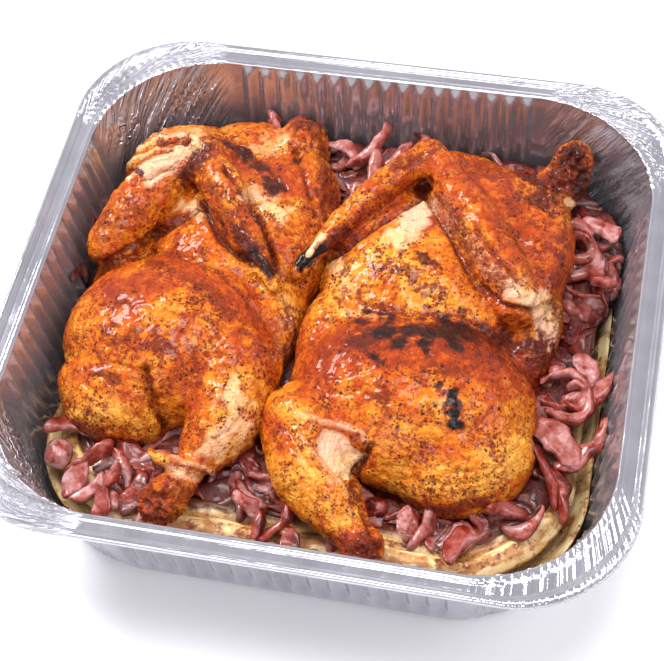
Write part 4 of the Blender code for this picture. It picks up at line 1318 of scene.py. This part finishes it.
STRIP, LONG_STRIP, RING, PETAL, HEART, SHRED = OnionKind
ONION_SPOTS = tuple(OnionSpot(*row) for row in (
        # pixel, height in millimetres, kind, size, turn and tilt in degrees, tint
        # right of the birds
        ((587, 247), 41, RING, 1.15, 20, 25, 0.35),
        ((604, 272), 40, STRIP, 1.1, 200, 20, 0.3),
        ((600, 232), 43, STRIP, 1.0, 80, -20, 0.3),
        ((582, 375), 43, PETAL, 0.9, 30, -12, 0.15),
        ((556, 369), 41, HEART, 0.75, 0, 0, 0.25),
        ((584, 397), 41, RING, 1.0, 10, 8, 0.45),
        ((590, 390), 39, STRIP, 1.2, -60, 5, 0.4),
        ((552, 452), 41, PETAL, 1.25, 60, 5, 0.35),
        ((588, 440), 40, STRIP, 1.25, -40, 6, 0.35),
        ((580, 450), 39, STRIP, 1.15, -45, 6, 0.5),
        # in front of the right bird
        ((535, 482), 40, LONG_STRIP, 1.1, 30, 15, 0.7),
        ((549, 494), 38, LONG_STRIP, 1.0, 20, -10, 0.9),
        ((506, 516), 38, STRIP, 0.9, 100, 60, 0.55),
        ((524, 520), 37, STRIP, 0.9, -60, 20, 0.3),
        ((468, 545), 36, STRIP, 1.1, 150, 10, 0.6),
        ((410, 509), 37, LONG_STRIP, 1.2, -8, 10, 0.4),
        ((400, 522), 36, PETAL, 0.7, 10, 20, 0.35),
        ((470, 520), 37, STRIP, 0.9, 60, 40, 0.9),
        # in front of the left bird
        ((58, 452), 37.5, HEART, 1.1, 20, 10, 0.1),
        ((72, 478), 37, PETAL, 0.8, -20, 10, 0.3),
        ((66, 430), 39, STRIP, 0.9, 100, 20, 0.55),
        ((88, 486), 37, STRIP, 0.8, -40, 10, 0.25),
        ((116, 500), 36, HEART, 0.7, 0, 0, 0.2),
        ((86, 450), 40, LONG_STRIP, 0.9, -55, 25, 0.45),
        ((102, 478), 39, STRIP, 0.9, -50, 30, 0.4),
        ((98, 502), 38, PETAL, 0.6, 0, 40, 0.75),
        ((110, 470), 39, SHRED, 1.2, 40, 0, 0.3),
        ((168, 474), 38, STRIP, 1.15, 40, 30, 0.2),
        ((156, 496), 37, PETAL, 0.75, 50, 10, 0.2),
        ((134, 512), 37, SHRED, 1.3, -20, 0, 0.15),
        ((130, 490), 38, PETAL, 0.9, -30, 10, 1.0),
        # between the drumsticks
        ((244, 511), 39, PETAL, 0.75, 70, 30, 0.35),
        ((270, 508), 39, LONG_STRIP, 1.2, -35, 20, 0.7),
        ((242, 530), 37, LONG_STRIP, 0.9, -18, 10, 0.9),
        ((282, 546), 37, PETAL, 0.9, 0, 10, 0.8),
        ((318, 538), 37, SHRED, 1.1, 20, 0, 0.5),
        ((262, 490), 38, SHRED, 1.1, 80, 0, 0.6),
        # behind the birds
        ((261, 132), 41, LONG_STRIP, 1.1, 10, 10, 0.2),
        ((298, 128), 42, HEART, 1.0, 0, 0, 0.5),
        ((362, 140), 43, LONG_STRIP, 1.15, -30, 10, 0.25),
        ((362, 170), 42, SHRED, 1.4, 5, 0, 0.3),
        ((345, 155), 40, STRIP, 0.9, 60, 15, 0.3),
        ((420, 143), 41, STRIP, 0.9, 10, 0, 0.5),
        ((390, 152), 41, SHRED, 1.2, -40, 0, 0.4),
        # left of the birds
        ((62, 272), 42, STRIP, 1.1, 120, 50, 0.2),
        ((80, 230), 43, STRIP, 0.9, 60, 30, 0.4),
))


@dataclass
class OnionBed:
    """Cooked onions in their juices: a wet core with strips, rings and petals heaped over it."""

    tray: FoilTray
    bread: Flatbread
    birds: list[bpy.types.Object]
    view: PhotoView
    core_top: float = 33.5
    core_foot: float = 14.0
    pool: float = 2.6
    loose: int = 300
    seed: int = 23
    onion: OnionFinish = field(default_factory=OnionFinish)
    sauce: SauceFinish = field(default_factory=SauceFinish)

    def bar(self, path: np.ndarray, wide: float, tall: float, taper: float = 0.7, cup: float = 0.0,
            twist: float = 0.0, sides: int = 10) -> tuple[list, list, list]:
        """Sweep a flat rounded strip along a path; its rind is the outer side of the bend.

        Args:
            path: Points of the centre line in millimetres.
            wide: Width across the bend.
            tall: Height of the strip.
            taper: Share of its width left at the ends.
            cup: How far its edges curl up.
            twist: Degrees that it turns about itself from end to end.
            sides: Points round the strip.

        Returns:
            Vertices, faces and the rind value of each vertex.
        """
        ahead = np.gradient(path, axis=0)
        ahead /= np.linalg.norm(ahead, axis=1)[:, None]
        across = np.cross(ahead, (0.0, 0.0, 1.0))
        across /= np.linalg.norm(across, axis=1)[:, None]
        over = np.cross(across, ahead)
        vertices, rinds, faces = [], [], []
        count = len(path)
        for index, centre in enumerate(path):
            share = index / (count - 1)
            narrow = taper + (1.0 - taper) * math.sin(math.pi * share) ** 0.7
            end = (0.45, 0.85)[min(index, count - 1 - index)] if min(index, count - 1 - index) < 2 else 1.0
            spin = math.radians(twist) * (share - 0.5)
            flat_way = across[index] * math.cos(spin) + over[index] * math.sin(spin)
            high_way = over[index] * math.cos(spin) - across[index] * math.sin(spin)
            for side in range(sides):
                turn = 2 * math.pi * side / sides
                flat = math.copysign(abs(math.cos(turn)) ** 0.7, math.cos(turn))
                rise = math.copysign(abs(math.sin(turn)) ** 0.85, math.sin(turn)) * tall / 2 * end
                curl = cup * flat * flat * narrow
                vertices.append(centre + flat_way * flat * wide / 2 * narrow * end + high_way * (rise + curl))
                rinds.append(0.5 + 0.5 * flat)
        for index in range(count - 1):
            for side in range(sides):
                after = (side + 1) % sides
                here, there = index * sides, (index + 1) * sides
                faces.append((here + side, there + side, there + after, here + after))
        faces.append(tuple(range(sides)))
        faces.append(tuple(range(len(vertices) - 1, len(vertices) - 1 - sides, -1)))
        return vertices, faces, rinds

    def blob(self, width: float, length: float, tall: float) -> tuple[list, list, list]:
        """A round heart of onion.

        Args:
            width: Width of the piece.
            length: Length of the piece.
            tall: Height of the piece.

        Returns:
            Vertices, faces and the rind value of each vertex.
        """
        bm = bmesh.new()
        bmesh.ops.create_icosphere(bm, subdivisions=3, radius=0.5)
        vertices = [(v.co.x * width, v.co.y * length, v.co.z * tall) for v in bm.verts]
        rinds = [0.35 + 0.8 * v.co.z for v in bm.verts]
        faces = [tuple(v.index for v in face.verts) for face in bm.faces]
        bm.free()
        return vertices, faces, rinds

    def arc(self, radius: float, sweep: float, sway: float, samples: int = 15) -> np.ndarray:
        """A bent centre line in the level plane that also sways up and down."""
        turns = np.radians(np.linspace(-sweep / 2, sweep / 2, samples))
        return np.stack([radius * np.cos(turns) - radius * 0.7, radius * np.sin(turns),
                         sway * np.sin(turns * 1.7)], axis=1)

    def kinds(self) -> bpy.types.Collection:
        """One sample of each kind of piece, in the order of OnionKind."""
        samples = bpy.data.collections.new("onion_samples")
        made = {
            STRIP: [self.bar(self.arc(13.0, 112.0, 1.6), 7.0, 4.6, 0.55, 0.9, 25.0)],
            LONG_STRIP: [self.bar(self.arc(24.0, 70.0, 2.4), 4.4, 6.6, 0.6, 0.0, 80.0)],
            RING: [self.bar(self.arc(11.5, 300.0, 1.4, 26), 4.4, 5.8, 0.7, 0.0, 30.0),
                             self.bar(self.arc(5.8, 250.0, 1.0, 20), 4.2, 5.6, 0.6, 0.0, -20.0)],
            PETAL: [self.bar(self.arc(14.0, 88.0, 1.6), 11.0, 4.4, 0.5, 1.6, 25.0, 14)],
            HEART: [self.blob(10.5, 12.0, 8.5)],
            SHRED: [self.bar(self.arc(17.0, 56.0, 1.6, 11), 4.6, 3.6, 0.5, 0.2, 60.0)],
        }
        for kind in OnionKind:
            vertices, faces, rinds = [], [], []
            for spots, sides, rind in made[kind]:
                faces += [tuple(len(vertices) + place for place in face) for face in sides]
                vertices += [tuple(spot) for spot in spots]
                rinds += rind
            sample = mesh_object(f"sample_{kind.value}_{kind.name.lower()}", np.array(vertices), faces)
            write_attribute(sample.data, "rind", np.array(rinds))
            bpy.context.scene.collection.objects.unlink(sample)
            samples.objects.link(sample)
        return samples

    def bird_trees(self) -> list[BVHTree]:
        """Search trees of the birds' skins."""
        trees = []
        for bird in self.birds:
            bm = bmesh.new()
            bm.from_mesh(bird.data)
            trees.append(BVHTree.FromBMesh(bm))
            bm.free()
        return trees

    def is_free(self, spot: np.ndarray, trees: list[BVHTree], gap: float) -> bool:
        """Whether a place is outside the birds by at least a gap."""
        for tree in trees:
            found, normal, _, distance = tree.find_nearest(Vector(spot * MM))
            if distance < gap * MM or (Vector(spot * MM) - found).dot(normal) < 0:
                return False
        return True

    def scatter(self) -> dict[str, np.ndarray]:
        """Places, turns, sizes, kinds and tints of all the pieces."""
        rng = random.Random(self.seed)
        trees = self.bird_trees()
        rows = []
        for spot in ONION_SPOTS:
            place = self.view.at_height(spot.pixel, spot.height)
            turn = (math.radians(0.5 * spot.tilt), 0.0, math.radians(spot.turn))
            rows.append((place, turn, spot.size, spot.kind.value, spot.tint))
        choices = ([STRIP] * 6 + [LONG_STRIP] * 2 + [SHRED] * 2
                   + [PETAL] * 5 + [HEART] * 2)
        tries = 0
        while len(rows) < len(ONION_SPOTS) + self.loose and tries < 6000:
            tries += 1
            angle = rng.uniform(0.0, 2 * math.pi)
            edge = self.bread.onion_edge(angle)
            distance = edge * math.sqrt(rng.uniform(0.2, 1.0)) - 6.0
            height = self.core_top + rng.uniform(-2.5, 1.5) - 1.5 * float(distance > edge - 12.0)
            place = np.array([distance * math.cos(angle), distance * math.sin(angle), height])
            kind = rng.choice(choices)
            turn = (math.radians(rng.gauss(0, 12)), math.radians(rng.gauss(0, 12)),
                    rng.uniform(0, 2 * math.pi))
            size, tint = rng.uniform(0.55, 1.0), rng.betavariate(0.9, 1.0)
            if self.is_free(place + (0.0, 0.0, 2.0), trees, 3.5):
                rows.append((place, turn, size, kind.value, tint))
        LOG.info("onions: %d pieces", len(rows))
        places, turns, sizes, kinds, tints = (np.array(column) for column in zip(*rows))
        return {"place": places, "turn": turns, "size": sizes, "kind": kinds, "tint": tints}

    def heap_tree(self, samples: bpy.types.Collection, material: bpy.types.Material) -> bpy.types.NodeTree:
        """Geometry nodes that put one sample at each point, turned, sized and made real."""
        tree = bpy.data.node_groups.new("onion_heap", "GeometryNodeTree")
        for name, way, kind in (("Points", "INPUT", "NodeSocketGeometry"),
                                ("Piece size", "INPUT", "NodeSocketFloat"),
                                ("Heap", "OUTPUT", "NodeSocketGeometry")):
            tree.interface.new_socket(name, in_out=way, socket_type=kind)
        add = partial(add_node, tree)
        given = add("NodeGroupInput", out="Points")
        pieces = add("GeometryNodeCollectionInfo",
                     named={"Collection": samples, "Separate Children": True, "Reset Children": True})
        turn, size, kind = (add("GeometryNodeInputNamedAttribute", named={"Name": name}, data_type=kind)
                            for name, kind in (("turn", "FLOAT_VECTOR"), ("size", "FLOAT"), ("kind", "INT")))
        scale = add(MATH, size, given.node.outputs["Piece size"], operation="MULTIPLY")
        heap = add("GeometryNodeInstanceOnPoints",
                   named={"Points": given, "Instance": pieces, "Pick Instance": True, "Instance Index": kind,
                          "Rotation": add("FunctionNodeEulerToRotation", turn), "Scale": scale})
        real = add("GeometryNodeRealizeInstances", heap)
        add("NodeGroupOutput", add("GeometryNodeSetMaterial", real, named={"Material": material}))
        return tree

    def build_pieces(self) -> bpy.types.Object:
        """Heap the pieces, then bend each by its place so that no two are alike."""
        rows = self.scatter()
        samples = self.kinds()
        heap = mesh_object("onion_pieces", rows["place"], [])
        write_attribute(heap.data, "size", rows["size"])
        write_attribute(heap.data, "tint", rows["tint"])
        turns = heap.data.attributes.new("turn", "FLOAT_VECTOR", "POINT")
        turns.data.foreach_set("vector", rows["turn"].astype(np.float32).ravel())
        kinds = heap.data.attributes.new("kind", "INT", "POINT")
        kinds.data.foreach_set("value", rows["kind"].astype(np.int32))
        material = self.onion.build()
        nodes = heap.modifiers.new("Heap", "NODES")
        nodes.node_group = self.heap_tree(samples, material)
        sockets = {item.name: item.identifier for item in nodes.node_group.interface.items_tree}
        nodes[sockets["Piece size"]] = 1.0
        apply_modifiers(heap)
        for sample in list(samples.objects):
            bpy.data.objects.remove(sample)
        points = read_points(heap.data)
        bend = np.stack([field_noise(points, 13.0, 2, shift) for shift in (2.0, 31.0, 57.0)], axis=1)
        points = points + bend * (2.8, 2.8, 1.5)
        points += 1.1 * np.stack([field_noise(points, 5.5, 3, shift) for shift in (1.0, 8.0, 5.0)], axis=1)
        write_points(heap.data, self.tray.keep_inside(points, 0.3))
        heap.data.shade_smooth()
        return place_piece(heap, "onion", "onion_bed")

    def build_core(self) -> bpy.types.Object:
        """The juices and soft bits between the pieces, as one lumpy closed bed."""
        angles, shares = 200, np.linspace(0.05, 1.0, 40)
        points, faces = [], []
        for index in range(angles):
            angle = 2 * math.pi * index / angles
            reach = self.bread.onion_edge(angle) - 1.0
            low = self.core_foot + 17.0 * smooth_step(shares, 0.75, 0.99)
            line = [*zip(shares, low), *((s, self.core_top) for s in shares[::-1])]
            points += [(reach * s * math.cos(angle), reach * s * math.sin(angle), z) for s, z in line]
        count = 2 * len(shares)
        inward = np.concatenate([shares, shares[::-1]])
        points += [(0.0, 0.0, self.core_foot), (0.0, 0.0, self.core_top)]
        for index in range(angles):
            here, there = index * count, ((index + 1) % angles) * count
            faces += [(here + k, there + k, there + k + 1, here + k + 1) for k in range(count - 1)]
            faces.append((angles * count, there, here))
            faces.append((angles * count + 1, here + count - 1, there + count - 1))
        spots = np.array(points)
        top = smooth_step(spots[:, 2], 32.0, 33.4)
        trees = self.bird_trees()
        free = [self.is_free(spot + (0.0, 0.0, 3.0), trees, 3.0) for spot in spots]
        inner = 1.0 - smooth_step(np.tile(inward, angles + 1)[:len(spots)], 0.86, 1.0)
        raised = np.where(free, self.pool, 0.0) * inner
        spots[:, 2] += top * (1.6 * field_noise(spots, 8.0, 4, 2.0) - 0.8 + raised)
        core = mesh_object("onion_juices", self.tray.keep_inside(spots, 0.3), faces)
        core.data.materials.append(self.sauce.build())
        return place_piece(core, "onion", "onion_bed")

    def build(self) -> list[bpy.types.Object]:
        """Build the core and the pieces on it."""
        return [self.build_core(), self.build_pieces()]


def main() -> None:
    """Build the meal, its stage and its camera."""
    logging.basicConfig(level=logging.INFO, format="%(message)s")
    view = PhotoView()
    view.build()
    Studio().build()
    tray = FoilTray()
    tray.build()
    bread = Flatbread(tray)
    bread.build()
    skin = SkinFinish().build()
    right = ChickenHalf("right_half_chicken", "chicken_half_right", RIGHT_LOBES, RIGHT_LIMBS, RIGHT_MARKS,
                        1, view)
    left = ChickenHalf("left_half_chicken", "chicken_half_left", LEFT_LOBES, LEFT_LIMBS, LEFT_MARKS,
                       -1, view, seed_shift=40.0)
    birds = [right.build(skin), left.build(skin)]
    OnionBed(tray, bread, birds, view).build()


if __name__ == "__main__":
    main()
